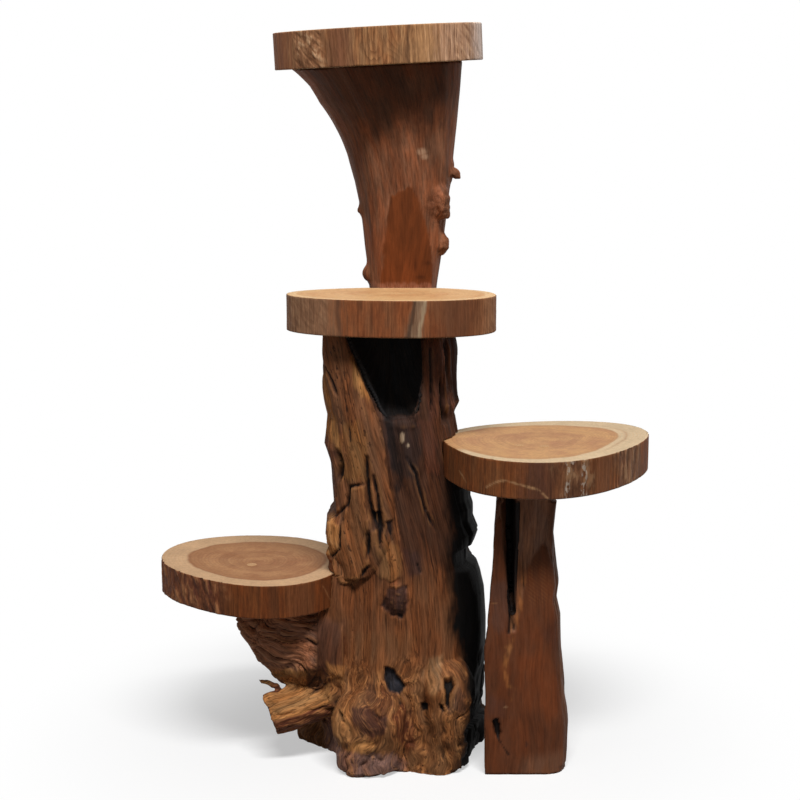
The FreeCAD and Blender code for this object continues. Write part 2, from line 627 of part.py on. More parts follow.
def make_stump():
    body = new_body("stump")
    sections = [closed_outline(body, f"stump_section{index}", stump_ring(*shares),
                               at({}, {}, {"stump_height": shares[0]}))
                for index, shares in enumerate(STUMP_SECTION_SHARES)]
    loft(body, "AdditiveLoft", "trunk", sections)

    # Plank that stands proud of the trunk, then the shoulder, the knot and the broken roots
    sections = []
    for index, (down, width, thick, turn, across, forward) in enumerate(PLANK_SECTION_SHARES):
        outline = ring({"plank_half_width": width}, {"plank_half_thick": thick}, PLANK_RIM_SHARES,
                       PLANK_ROUND_SHARE)
        placed = at({"stump_half_width": across}, {"stump_half_depth": forward},
                    plus(STUMP_TOP, {"plank_length": -down}),
                    f"rotation(vector(0; 0; 1); -Sizes.plank_turn_deg * {turn})")
        sections.append(closed_outline(body, f"plank_section{index}", outline, placed))
    loft(body, "AdditiveLoft", "plank", sections)
    for name, radius, radius_shares, across, forward, height in STUMP_KNOB_SHARES:
        knob(body, name, {radius: 1}, radius_shares,
             at({"stump_half_width": across}, {"stump_half_depth": forward}, {"stump_height": height}))
    for side, (across, forward) in BOSS_SHARES.items():
        sections = []
        for index, (height, girth, forth) in enumerate(BOSS_SECTION_SHARES):
            outline = ring({f"{side}_boss_half_width": girth}, {f"{side}_boss_half_depth": girth},
                           BOSS_RIM_SHARES, BOSS_ROUND_SHARE)
            placed = at({"stump_half_width": across},
                        {"stump_half_depth": forward, f"{side}_boss_half_depth": -forth},
                        {f"{side}_boss_height": height})
            sections.append(closed_outline(body, f"{side}_boss_section{index}", outline, placed))
        loft(body, "AdditiveLoft", side + "_boss", sections)

    # Root bracket, grown out to the left
    sections = []
    for index, (reach_share, depth_share, drop_share) in enumerate(BRACKET_SECTION_SHARES):
        below = {"bracket_drop": drop_share * BRACKET_BELOW_SHARE}
        outline = ring({"bracket_half_depth": depth_share}, below, BRACKET_RIM_SHARES, BRACKET_ROUND_SHARE)
        height = {"left_slab_bottom": 1, "bracket_drop": -drop_share * (1 - BRACKET_BELOW_SHARE)}
        placed = at(BRACKET_Y, height, plus(BRACKET_X, {"bracket_reach": -reach_share}))
        sections.append(closed_outline(body, f"bracket_section{index}", outline, placed, "YZ_Plane"))
    loft(body, "AdditiveLoft", "bracket", sections)

    # Broken prong, pointing out and down
    start = at(terms("- prong_start_x"), terms("- prong_start_y"), terms("prong_start_height"),
               "rotation(vector(0; 0; 1); Sizes.prong_yaw_deg)"
               " * rotation(vector(0; 1; 0); -90 - Sizes.prong_dip_deg)")
    sections = []
    for index, (along_share, radius_share) in enumerate(PRONG_SECTION_SHARES):
        radius = {"prong_radius": radius_share}
        outline = ring(radius, radius, PRONG_RIM_SHARES)
        placed = start + " * " + at({}, {}, {"prong_length": along_share})
        sections.append(closed_outline(body, f"prong_section{index}", outline, placed))
    loft(body, "AdditiveLoft", "prong", sections)

    # Hollow under the middle slab, open at the front
    sections = []
    for index, (down, width, depth, shift, forward) in enumerate(HOLLOW_SECTION_SHARES):
        outline = ring({"hollow_half_width": width}, {"hollow_half_depth": depth}, HOLLOW_RIM_SHARES)
        placed = at({"hollow_shift": -shift}, {"hollow_set_forward": -forward},
                    {"stump_height": 1, "hollow_depth": -down})
        sections.append(closed_outline(body, f"hollow_section{index}", outline, placed))
    loft(body, "SubtractiveLoft", "hollow", sections)

    # Housings for the two side slabs. The left one also seats its slab on the bracket.
    house_slab(body, "left", LEFT_RIM_SHARES, LEFT_X, LEFT_Y, LEFT_Z)
    house_slab(body, "right", RIGHT_RIM_SHARES, RIGHT_X, RIGHT_Y, RIGHT_Z)

    drill(body, "top_dowel_holes", MIDDLE_DOWELS + POST_DOWELS, DRILLED_DOWEL, DOWEL_HOLE,
          at({}, {}, STUMP_TOP))
    drill(body, "bracket_dowel_holes", LEFT_DOWELS, DRILLED_DOWEL, DOWEL_HOLE, at({}, {}, LEFT_Z))
    drill(body, "bracket_screw_hole", LEFT_SCREWS, DRILLED_SCREW,
          screw_depth("left_slab_thick", LEFT_SCREW_SHARE), at({}, {}, LEFT_Z))
    return body


def house_slab(body, side, shares, x, y, z):
    """A housing the shape of a side slab, with clearance round its rim and over its top."""
    clear = terms("housing_clearance")
    outline = ring(plus({f"{side}_slab_half_width": 1}, clear), plus({f"{side}_slab_half_depth": 1}, clear),
                   shares, centre=(x, y))
    sketch = closed_outline(body, side + "_housing_outline", outline, at({}, {}, z))
    pocket(body, side + "_housing", sketch, plus({f"{side}_slab_thick": 1}, clear), onward=True)


# Upper post

def post_middle(height_share):
    """The shares of half width, half depth, sway and set back at one height, between two sections."""
    for low, high in zip(POST_SECTION_SHARES, POST_SECTION_SHARES[1:]):
        if height_share <= high[0]:
            part_step = (height_share - low[0]) / (high[0] - low[0])
            return [a + (b - a) * part_step for a, b in zip(low[1:], high[1:])]
    return POST_SECTION_SHARES[-1][1:]


def make_upper_post():
    body = new_body("upper_post")
    sections = []
    for index, (height, width, depth, sway, back) in enumerate(POST_SECTION_SHARES):
        outline = ring({"upper_post_half_width": width}, {"upper_post_half_depth": depth}, POST_RIM_SHARES,
                       centre=({"upper_post_sway": sway}, {"upper_post_set_back": back}))
        placed = at({}, {}, plus(STUMP_TOP, {"upper_post_height": height}))
        sections.append(closed_outline(body, f"post_section{index}", outline, placed))
    # The top section lies in the plane of the top slab's underside
    width, depth, sway, back = POST_TOP_SHARES
    outline = ring({"upper_post_half_width": width}, {"upper_post_half_depth": depth}, POST_RIM_SHARES,
                   centre=(plus({"upper_post_sway": sway}, times(TOP_X, -1)),
                           plus({"upper_post_set_back": back}, times(TOP_Y, -1))))
    sections.append(closed_outline(body, "post_top", outline, TOP_FRAME))
    loft(body, "AdditiveLoft", "post_flare", sections)

    # Burls and stubs on the sides
    for name, radius, height, bearing, radius_shares in POST_KNOB_SHARES:
        width, depth, sway, back = post_middle(height)
        across, along = math.cos(math.radians(bearing)), math.sin(math.radians(bearing))
        knob(body, name, {radius: 1}, radius_shares,
             at({"upper_post_half_width": width * across, "upper_post_sway": sway},
                {"upper_post_half_depth": depth * along, "upper_post_set_back": back},
                plus(STUMP_TOP, {"upper_post_height": height})))

    # The lap against the middle slab, and above it the sawn facet that leans forward out of the wood
    wide = terms("2 upper_post_half_width + 2 overrun")
    deep = terms("upper_post_half_depth + overrun")
    half_wide = times(wide, -0.5)
    saw(body, "lap", wide, deep, terms("middle_slab_thick + overrun"),
        at(half_wide, plus(terms("lap_face_y"), times(deep, -1)), plus(STUMP_TOP, terms("- overrun"))))
    saw(body, "facet", wide, deep, terms("facet_height + overrun"),
        at({}, terms("lap_face_y"), MIDDLE_TOP, "rotation(vector(1; 0; 0); Sizes.facet_lean_deg)")
        + " * " + at(half_wide, times(deep, -1), {}))

    drill(body, "foot_dowel_holes", POST_DOWELS, DRILLED_DOWEL, DOWEL_HOLE,
          at({}, {}, STUMP_TOP), onward=True)
    drill(body, "post_screw_holes", TOP_SCREWS, DRILLED_SCREW, screw_depth("top_slab_thick"), TOP_FRAME)
    drill(body, "lap_bores", LAP_SCREWS, DRILLED_PLUG,
          terms("lap_bore_depth + screw_head_height + overrun"),
          at({}, {}, plus(times(LAP_HEAD_Y, -1), terms("screw_head_height"))), plane="XZ_Plane")
    drill(body, "lap_holes", LAP_SCREWS, DRILLED_SCREW, terms("screw_length"),
          at({}, {}, times(LAP_HEAD_Y, -1)), onward=True, plane="XZ_Plane")
    return body


# Right post

def sawn_outline(body, name, corner, poles, placed):
    """An outline with two straight sawn sides that meet at a corner, and a smooth round side."""
    sketch = new_sketch(body, name, placed)
    point = FreeCAD.Vector(value(corner[0]), value(corner[1]), 0)
    points = [FreeCAD.Vector(value(x), value(y), 0) for x, y in poles]
    front = sketch.addGeometry(Part.LineSegment(point, points[0]), False)
    curve = Part.BSplineCurve()
    curve.buildFromPoles(points, False, 3)
    spline = sketch.addGeometry(curve, False)
    left = sketch.addGeometry(Part.LineSegment(points[-1], point), False)
    hold_poles(sketch, spline, points, poles)
    sketch.addConstraint([
        Sketcher.Constraint("Coincident", front, 2, spline, 1),
        Sketcher.Constraint("Coincident", spline, 2, left, 1),
        Sketcher.Constraint("Coincident", left, 2, front, 1),
    ])
    hold_point(sketch, front, "corner", corner[0], corner[1], 1)
    return sketch


def make_right_post():
    body = new_body("right_post")
    sections = []
    for index, (height, left, arris, right, back) in enumerate(RIGHT_POST_SECTION_SHARES):
        corner = (plus(RIGHT_POST_X, {"right_post_half_width": -left}), terms("- right_post_front"))
        poles = [(plus(RIGHT_POST_X, {"right_post_half_width": arris}), terms("- right_post_front"))]
        for across, along in WANE_SHARES:
            poles.append((plus(RIGHT_POST_X, {"right_post_half_width": arris + (right - arris) * across}),
                          plus(RIGHT_POST_Y, {"right_post_half_depth": along * (back if along > 0 else 1)})))
        poles.append((corner[0], plus(RIGHT_POST_Y, {"right_post_half_depth": back * LEFT_FACE_BACK_SHARE})))
        placed = at({}, {}, {"right_post_height": height})
        sections.append(sawn_outline(body, f"right_post_section{index}", corner, poles, placed))
    loft(body, "AdditiveLoft", "log", sections)

    # Drying split that opens towards the top of the front
    sections = []
    for index, (down, width, depth, shift) in enumerate(SPLIT_SECTION_SHARES):
        outline = ring({"post_split_half_width": width}, {"post_split_depth": depth}, SPLIT_RIM_SHARES)
        placed = at(plus(RIGHT_POST_X, {"right_post_half_width": shift}), terms("- right_post_front"),
                    {"right_post_height": 1, "post_split_length": -down})
        sections.append(closed_outline(body, f"split_section{index}", outline, placed))
    loft(body, "SubtractiveLoft", "split", sections)

    drill(body, "right_post_screw_holes", RIGHT_SCREWS, DRILLED_SCREW, screw_depth("right_slab_thick"),
          at({}, {}, RIGHT_Z))
    drill(body, "right_post_dowel_hole", RIGHT_DOWELS, DRILLED_DOWEL, DOWEL_HOLE, at({}, {}, RIGHT_Z))
    return body


# Dowels, screws and plugs

def solid(kind, name, sizes, placed):
    """A Part primitive with its sizes and its place bound to the sheet."""
    feature = doc.addObject("Part::" + kind, name)
    for side, measure in sizes.items():
        feature.setExpression(side, words(measure))
    feature.setExpression("Placement", placed)
    return feature


def group(name, members):
    feature = doc.addObject("Part::Compound", name)
    feature.Label = name
    feature.Links = members
    return feature


def dowels(name, points, z):
    """Upright dowels, half below the joint at height z and half above it."""
    sizes = {"Radius": terms("dowel_radius"), "Height": terms("2 dowel_sunk")}
    return group(name, [
        solid("Cylinder", f"{name}_{index}", sizes, at(x, y, plus(z, terms("- dowel_sunk"))))
        for index, (x, y) in enumerate(points)])


def screw(name, placed, length_share=1):
    """A countersunk wood screw whose head is at the given place and whose point is along its +Z."""
    shank = {"screw_length": length_share, "screw_head_height": -1, "screw_point": -1}
    radius = terms("screw_radius")
    pieces = [
        solid("Cone", name + "_head", {"Radius1": terms("screw_head_radius"), "Radius2": radius,
                                       "Height": terms("screw_head_height")}, placed),
        solid("Cylinder", name + "_shank", {"Radius": radius, "Height": shank},
              placed + " * " + at({}, {}, terms("screw_head_height"))),
        solid("Cone", name + "_point", {"Radius1": radius, "Radius2": {}, "Height": terms("screw_point")},
              placed + " * " + at({}, {}, {"screw_length": length_share, "screw_point": -1})),
    ]
    whole = doc.addObject("Part::MultiFuse", name)
    whole.Shapes = pieces
    return whole


def slab_screws(name, points, frame, thick, length_share=1):
    """Screws down through a slab, with their heads under the plugs."""
    return group(name, [
        screw(f"{name}_{index}", frame + " * "
              + at(x, y, plus({thick: 1}, times(SCREW_HEAD_DEPTH, -1)), "rotation(vector(1; 0; 0); 180)"),
              length_share)
        for index, (x, y) in enumerate(points)])


def slab_plugs(name, points, frame, thick):
    """Plugs over the screws, standing a hair proud of the slab."""
    sizes = {"Radius": terms("plug_radius"), "Height": terms("plug_length")}
    return group(name, [
        solid("Cylinder", f"{name}_{index}", sizes,
              frame + " * " + at(x, y, plus({thick: 1}, times(SCREW_HEAD_DEPTH, -1))))
        for index, (x, y) in enumerate(points)])


def make_fasteners():
    right_marks = local(RIGHT_SCREWS, RIGHT_X, RIGHT_Y)
    left_marks = local(LEFT_SCREWS, LEFT_X, LEFT_Y)
    forward = "rotation(vector(1; 0; 0); 90)"
    lap_screws = group("lap_screws", [screw(f"lap_screw_{index}", at(x, LAP_HEAD_Y, z, forward))
                                      for index, (x, z) in enumerate(LAP_SCREWS)])
    return [
        dowels("middle_slab_dowels", MIDDLE_DOWELS, STUMP_TOP),
        dowels("upper_post_dowels", POST_DOWELS, STUMP_TOP),
        lap_screws,
        slab_screws("top_slab_screws", TOP_SCREWS, TOP_FRAME, "top_slab_thick"),
        slab_plugs("top_slab_plugs", TOP_SCREWS, TOP_FRAME, "top_slab_thick"),
        slab_screws("right_slab_screws", right_marks, RIGHT_FRAME, "right_slab_thick"),
        slab_plugs("right_slab_plugs", right_marks, RIGHT_FRAME, "right_slab_thick"),
        dowels("right_post_dowel", RIGHT_DOWELS, RIGHT_Z),
        slab_screws("left_slab_screw", left_marks, LEFT_FRAME, "left_slab_thick", LEFT_SCREW_SHARE),
        slab_plugs("left_slab_plug", left_marks, LEFT_FRAME, "left_slab_thick"),
        dowels("left_slab_dowels", LEFT_DOWELS, LEFT_Z),
    ]


def check(pieces):
    """Stops if an object failed, or if a piece has no sound solid."""
    for thing in doc.Objects:
        if "Invalid" in thing.State or "Error" in thing.State:
            raise RuntimeError(f"{thing.Name}: {thing.State}")
    for piece in pieces:
        if piece.Shape.isNull() or not piece.Shape.isValid() or not piece.Shape.Solids:
            raise RuntimeError(f"{piece.Label} has no sound solid")


def main():
    pieces = [make_stump(), make_middle_slab(), make_upper_post(), make_top_slab(), make_right_slab(),
              make_right_post(), make_left_slab()] + make_fasteners()
    doc.recompute()
    check(pieces)
    os.makedirs("parts", exist_ok=True)
    for piece in pieces:
        piece.Shape.exportStep(f"parts/{piece.Label}.step")
        box = piece.Shape.BoundBox
        print(f"{piece.Label}: {len(piece.Shape.Solids)} solids, {piece.Shape.Volume / 1000:.1f} cm3, "
              f"x {box.XMin:.0f} to {box.XMax:.0f}, y {box.YMin:.0f} to {box.YMax:.0f}, "
              f"z {box.ZMin:.0f} to {box.ZMax:.0f}")


fill_sheet()
main()
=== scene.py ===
import math
import bmesh
import bpy
import numpy as np
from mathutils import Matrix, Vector
from mathutils.bvhtree import BVHTree


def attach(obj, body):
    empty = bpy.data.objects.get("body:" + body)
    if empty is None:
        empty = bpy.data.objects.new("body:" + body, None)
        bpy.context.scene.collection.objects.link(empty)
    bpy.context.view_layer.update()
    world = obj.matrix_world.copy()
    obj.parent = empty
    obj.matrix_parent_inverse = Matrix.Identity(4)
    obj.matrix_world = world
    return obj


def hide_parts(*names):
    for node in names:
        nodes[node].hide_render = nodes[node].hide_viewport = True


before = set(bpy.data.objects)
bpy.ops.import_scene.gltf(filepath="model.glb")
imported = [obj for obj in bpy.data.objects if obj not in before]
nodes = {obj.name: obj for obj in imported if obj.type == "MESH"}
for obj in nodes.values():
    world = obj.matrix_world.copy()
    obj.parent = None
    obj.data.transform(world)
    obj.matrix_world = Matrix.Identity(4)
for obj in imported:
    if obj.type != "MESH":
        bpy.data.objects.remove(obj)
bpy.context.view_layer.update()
mm = 0.001
print("frame loaded with", len(nodes), "nodes")


# Noise and small shapes for the sculpting, all on arrays of points

cubeEdges = np.array([  # the ways that a gradient can point
    (1, 1, 0), (-1, 1, 0), (1, -1, 0), (-1, -1, 0), (1, 0, 1), (-1, 0, 1), (1, 0, -1), (-1, 0, -1),
    (0, 1, 1), (0, -1, 1), (0, 1, -1), (0, -1, -1), (1, 1, 0), (-1, 1, 0), (0, -1, 1), (0, -1, -1)])
cellPrimes = (73856093, 19349663, 83492791)  # these scatter the cells of the noise
stirPrime = 1274126177
seedStep = 40503
seedStart = 977
wholeBits = 0x7fffffff


def gradientNoise(points, seed):
    cell = np.floor(points).astype(np.int64)
    inside = points - cell
    fade = inside ** 3 * (inside * (inside * 6 - 15) + 10)
    total = np.zeros(len(points))
    for corner in range(8):
        step = np.array([corner & 1, corner >> 1 & 1, corner >> 2 & 1])
        key = (cell + step) * cellPrimes
        mixed = (key[:, 0] ^ key[:, 1] ^ key[:, 2] ^ (seed * seedStep + seedStart)) & wholeBits
        mixed = ((mixed ^ mixed >> 13) * stirPrime) & wholeBits
        edge = cubeEdges[(mixed ^ mixed >> 15) & 15]
        weight = np.where(step, fade, 1 - fade).prod(1)
        total += weight * (edge * (inside - step)).sum(1)
    return total


def layered(points, seed, layers=3):
    total = np.zeros(len(points))
    for layer in range(layers):
        total += gradientNoise(points * 2 ** layer, seed + layer) / 2 ** layer
    return total


def groove(field, width):  # 1 along the lines where a field passes through 0
    return np.exp(-(field / width) ** 2)


def smooth(low, high, values):
    share = np.clip((values - low) / (high - low), 0, 1)
    return share * share * (3 - 2 * share)


def pathDistance(points, path, closed=False):  # to the nearest point of a line of straight runs
    path = np.asarray(path, float)
    nearest = np.full(len(points), 1e9)
    for start, end in zip(path, np.roll(path, -1, 0) if closed else path[1:]):
        run = end - start
        share = np.clip((points - start) @ run / (run @ run), 0, 1)
        nearest = np.minimum(nearest, np.linalg.norm(points - start - share[:, None] * run, axis=1))
    return nearest


def depthInside(points, corners):  # distance from a polygon's edge, negative outside it
    corners = np.asarray(corners, float)
    inside = np.zeros(len(points), bool)
    for (x0, y0), (x1, y1) in zip(corners, np.roll(corners, -1, 0)):
        crosses = (y0 > points[:, 1]) != (y1 > points[:, 1])
        inside ^= crosses & (points[:, 0] < (x1 - x0) * (points[:, 1] - y0) / (y1 - y0 + 1e-12) + x0)
    return np.where(inside, 1, -1) * pathDistance(points, corners, True)


# Meshes

def arraysOf(mesh):
    points = np.empty(len(mesh.vertices) * 3)
    mesh.vertices.foreach_get("co", points)
    mesh.calc_loop_triangles()
    corners = np.empty(len(mesh.loop_triangles) * 3, np.int32)
    mesh.loop_triangles.foreach_get("vertices", corners)
    return points.reshape(-1, 3), corners.reshape(-1, 3)


def normalsOf(mesh):
    normals = np.empty(len(mesh.vertices) * 3)
    mesh.vertex_normals.foreach_get("vector", normals)
    return normals.reshape(-1, 3)


def movePoints(mesh, points):
    mesh.vertices.foreach_set("co", np.asarray(points, np.float32).ravel())
    mesh.update()


def store(mesh, **fields):  # numbers or vectors on the vertices, for the finishes to read
    for name, values in fields.items():
        vector = np.ndim(values) == 2
        field = mesh.attributes.new(name, "FLOAT_VECTOR" if vector else "FLOAT", "POINT")
        field.data.foreach_set("vector" if vector else "value", np.asarray(values, np.float32).ravel())


def addPiece(name, mesh, node):
    piece = bpy.data.objects.new(name, mesh)
    bpy.context.scene.collection.objects.link(piece)
    mesh.shade_smooth()
    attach(piece, "root")
    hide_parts(node)


def evenMesh(node, voxel, extras=()):  # the CAD shape, with any extra lumps, as one even mesh
    points, corners = arraysOf(nodes[node].data)
    allPoints, allFaces = [points], [corners]
    for lumpPoints, lumpFaces in extras:
        allFaces.append(np.asarray(lumpFaces) + sum(len(p) for p in allPoints))
        allPoints.append(lumpPoints)
    rough = bpy.data.meshes.new(node + "Rough")
    rough.from_pydata(np.concatenate(allPoints).tolist(), [], np.concatenate(allFaces).tolist())
    carrier = bpy.data.objects.new(node + "Rough", rough)
    bpy.context.scene.collection.objects.link(carrier)
    weld = carrier.modifiers.new("weld", "WELD")
    weld.merge_threshold = 0.01 * mm
    even = carrier.modifiers.new("even", "REMESH")
    even.mode = "VOXEL"
    even.voxel_size = voxel
    graph = bpy.context.evaluated_depsgraph_get()
    mesh = bpy.data.meshes.new_from_object(carrier.evaluated_get(graph))
    bpy.data.objects.remove(carrier)
    bpy.data.meshes.remove(rough)
    mesh.materials.clear()
    dropSpecks(mesh)
    return mesh


def dropSpecks(mesh):  # deletes loose bits, all that isn't joined to the highest point
    shape = bmesh.new()
    shape.from_mesh(mesh)
    top = max(shape.verts, key=lambda vert: vert.co.z)
    joined, waiting = {top}, [top]
    while waiting:
        vert = waiting.pop()
        beside = {edge.other_vert(vert) for edge in vert.link_edges} - joined
        joined |= beside
        waiting += beside
    bmesh.ops.delete(shape, geom=[vert for vert in shape.verts if vert not in joined], context="VERTS")
    shape.to_mesh(mesh)
    shape.free()


# Shader expressions: a Wire is a socket, and sums of wires add Math nodes

class Wire:
    def __init__(self, finish, socket):
        self.finish = finish
        self.socket = socket

    def maths(self, operation, *values):
        return self.finish.add("ShaderNodeMath", {"operation": operation}, dict(enumerate(values)))

    def __add__(self, other):
        return self.maths("ADD", self, other)

    def __sub__(self, other):
        return self.maths("SUBTRACT", self, other)

    def __rsub__(self, other):
        return self.maths("SUBTRACT", other, self)

    def __mul__(self, other):
        return self.maths("MULTIPLY", self, other)

    def __truediv__(self, other):
        return self.maths("DIVIDE", self, other)

    def __rtruediv__(self, other):
        return self.maths("DIVIDE", other, self)

    def __pow__(self, other):
        return self.maths("POWER", self, other)

    def __rpow__(self, other):
        return self.maths("POWER", other, self)

    __radd__ = __add__
    __rmul__ = __mul__

    def fraction(self):
        return self.maths("FRACT", self)

    def size(self):
        return self.maths("ABSOLUTE", self)

    def ramp(self, low, high):  # 0 below low, 1 above high, smooth between
        return self.finish.add("ShaderNodeMapRange", {"interpolation_type": "SMOOTHSTEP"},
                               {"Value": self, "From Min": low, "From Max": high})


class Finish:
    def __init__(self, name, world=None):
        self.material = world or bpy.data.materials.new(name)
        self.material.use_nodes = True
        self.tree = self.material.node_tree
        self.tree.nodes.clear()

    def add(self, kind, settings=None, sockets=None, out=0):
        node = self.tree.nodes.new(kind)
        for key, value in (settings or {}).items():
            setattr(node, key, value)
        for key, value in (sockets or {}).items():
            socket = node.inputs[key]
            if isinstance(value, Wire):
                self.tree.links.new(value.socket, socket)
            else:
                socket.default_value = (*value, 1) if socket.type == "RGBA" and len(value) == 3 else value
        return Wire(self, node.outputs[out]) if node.outputs else None

    def shown(self):  # 1 for the rays that show the background
        rays = [self.add("ShaderNodeLightPath", out="Is " + ray + " Ray")
                for ray in ("Camera", "Glossy", "Transmission")]
        return rays[0].maths("MAXIMUM", rays[0].maths("MAXIMUM", rays[0], rays[1]), rays[2])

    def field(self, name):
        return self.add("ShaderNodeAttribute", {"attribute_name": name}, out="Fac")

    def place(self, name="grain"):
        return self.add("ShaderNodeAttribute", {"attribute_name": name}, out="Vector")

    def noise(self, place, across, along, detail=3, rough=0.55):  # sizes of the pattern, in metres
        scaled = self.add("ShaderNodeVectorMath", {"operation": "MULTIPLY"},
                          {0: place, 1: (1 / across, 1 / across, 1 / along)})
        return self.add("ShaderNodeTexNoise", None,
                        {"Vector": scaled, "Scale": 1, "Detail": detail, "Roughness": rough})

    def mix(self, share, first, second, kind="MIX"):
        return self.add("ShaderNodeMix", {"data_type": "RGBA", "blend_type": kind},
                        {0: share, 6: first, 7: second}, out=2)

    def done(self, colour, roughness, relief, depth, specular=0.1):
        normal = self.add("ShaderNodeBump", None, {"Strength": 1, "Distance": depth, "Height": relief})
        shader = self.add("ShaderNodeBsdfPrincipled", None, {
            "Base Color": colour, "Roughness": roughness, "Normal": normal, "Specular IOR Level": specular})
        self.add("ShaderNodeOutputMaterial", None, {"Surface": shader})
        return self.material


def tone(red, green, blue):  # a colour as it looks on a screen, 0 to 255
    shares = [value / 255 for value in (red, green, blue)]
    return tuple(s / 12.92 if s < 0.04045 else ((s + 0.055) / 1.055) ** 2.4 for s in shares)


# Slabs: cross-cuts of logs, worked out as polar grids round the CAD outline

slabGrid = dict(
    bearings=480, faceRings=46, rimRows=26, underRings=16, arris=1.4 * mm, pithRing=0.012,
    chip=0.9 * mm, chipsRound=22,
    # worm tracks on the unrolled rim, in millimetres
    rimPerDegree=2.4, rimHigh=45, trackHalf=1.1, trackWander=1.2,
)

topSlab = dict(
    node="top_slab", seed=11,
    # pith and start of the sapwood, as shares of the radius
    pith=(0.10, -0.08), sapStart=0.83, rings=34, sapLean=(0.02, 0.0), heartEdge=0, grit=2.4,
    heart=((200, 152, 106), (172, 121, 80)), sap=(214, 182, 140), heartLine=(150, 104, 68), greyBand=0,
    rim=((162, 116, 77), (124, 81, 52)), rimLine=(90, 54, 33), figure=1.0, peaks=15, ridge=0.5 * mm,
    # rough stretches of the rim: from, to and share
    rough=[(214, 236, 0.8), (318, 346, 0.35)], fold=1.6 * mm,
    crust=((186, 136, 98), (124, 82, 58), (222, 180, 140)),
    # bearing, half width, lean, colour and share of fine lines
    streaks=[(196, 26, 0, (156, 102, 74), 0.2), (247, 12, 0, (122, 80, 57), 0.5),
             (289, 1.5, 0, (70, 44, 30), 0), (299, 12, 0, (170, 126, 86), 0.3),
             # the near-white streak at bearing 346, on the right end of the rim, is a painted highlight
             (324, 20, 0, (194, 154, 124), 0.8), (346, 14, 0, (248, 226, 212), 0.2)],
    flecks=[],
    # paths along the rim: bearing and level
    tracks=[], trackTone=(178, 136, 96), foldLean=1.1, lines=2.6, sapGap=(-90, 1),
)
middleSlab = dict(
    node="middle_slab", seed=23, pith=(-0.05, 0.15), sapStart=0.9, rings=30, sapLean=(0.0, 0.0),
    heartEdge=0, grit=1.6, heart=((220, 176, 125), (190, 141, 96)), sap=(219, 181, 134),
    heartLine=(196, 144, 98), greyBand=0, rim=((138, 83, 51), (112, 65, 40)), rimLine=(88, 50, 31),
    figure=0.25, peaks=30, ridge=0.35 * mm, rough=[(178, 222, 0.3), (336, 362, 0.3)], fold=0.9 * mm,
    crust=((160, 120, 90), (104, 76, 58), (182, 144, 110)),
    streaks=[(201, 27, 0, (160, 120, 90), 0.6), (226, 3, 0, (98, 66, 48), 0),
             (291, 7, 5, (126, 102, 80), 0.6), (287, 2.2, 5, (72, 54, 42), 0),
             (295, 2.2, 5, (160, 136, 108), 0.3), (318, 16, 0, (98, 62, 42), 0.2),
             (345, 14, 0, (160, 111, 76), 0.5)],
    flecks=[], tracks=[], trackTone=(178, 136, 96), foldLean=1.1, lines=2.6, sapGap=(-90, 1),
)
rightSlab = dict(
    node="right_slab", seed=37, pith=(-0.08, -0.02), sapStart=0.80, rings=30, sapLean=(0.12, 0.03),
    heartEdge=0.1, grit=2.2, heart=((205, 158, 108), (168, 122, 87)), sap=(206, 182, 147),
    heartLine=(160, 112, 78), greyBand=0.5, rim=((133, 79, 44), (98, 57, 33)), rimLine=(64, 38, 24),
    figure=0.3, peaks=24, ridge=0.6 * mm, rough=[(270, 290, 0.7), (315, 352, 0.75), (20, 160, 0.6)],
    fold=2.4 * mm, crust=((124, 86, 60), (72, 44, 32), (162, 126, 92)),
    streaks=[(260, 13, 0, (76, 48, 37), 0.5), (278, 9, 0, (108, 72, 50), 0.2),
             (302, 9, 0, (122, 78, 52), 0.5), (336, 20, 0, (190, 140, 106), 0.5)],
    flecks=[(275, 3), (285, 3)], fleckTone=(172, 156, 140), foldLean=0, lines=5, sapGap=(186, 26),
    tracks=[[(232, 0.22), (236, 0.36), (240, 0.45), (243, 0.48), (248, 0.42), (254, 0.35), (259, 0.28),
             (262, 0.16), (264, 0.04)],
            [(209, 0.45), (213, 0.36), (217, 0.2)]],
    trackTone=(178, 136, 96),
)
leftSlab = dict(
    node="left_slab", seed=41, pith=(0.05, -0.1), sapStart=0.75, rings=26, sapLean=(-0.02, 0.02),
    heartEdge=0.4, grit=2.2, heart=((182, 134, 92), (144, 98, 65)), sap=(197, 160, 122),
    heartLine=(132, 84, 52), greyBand=0, rim=((118, 64, 32), (94, 51, 27)), rimLine=(60, 34, 21),
    figure=0.3, peaks=24, ridge=0.5 * mm, rough=[(176, 256, 0.9), (60, 150, 0.6)], fold=2.6 * mm,
    crust=((138, 86, 56), (92, 51, 36), (166, 114, 76)),
    streaks=[(224, 26, 0, (118, 74, 50), 0.2), (230, 3, 4, (62, 34, 32), 0),
             (244, 3, -4, (62, 34, 32), 0), (286, 4, 0, (88, 50, 28), 0), (304, 10, 0, (108, 64, 38), 0)],
    flecks=[], foldLean=0.3, lines=5, sapGap=(-90, 1), tracks=[[(318, 0.75), (322, 0.45), (326, 0.15)]],
    trackTone=(150, 100, 64),
)


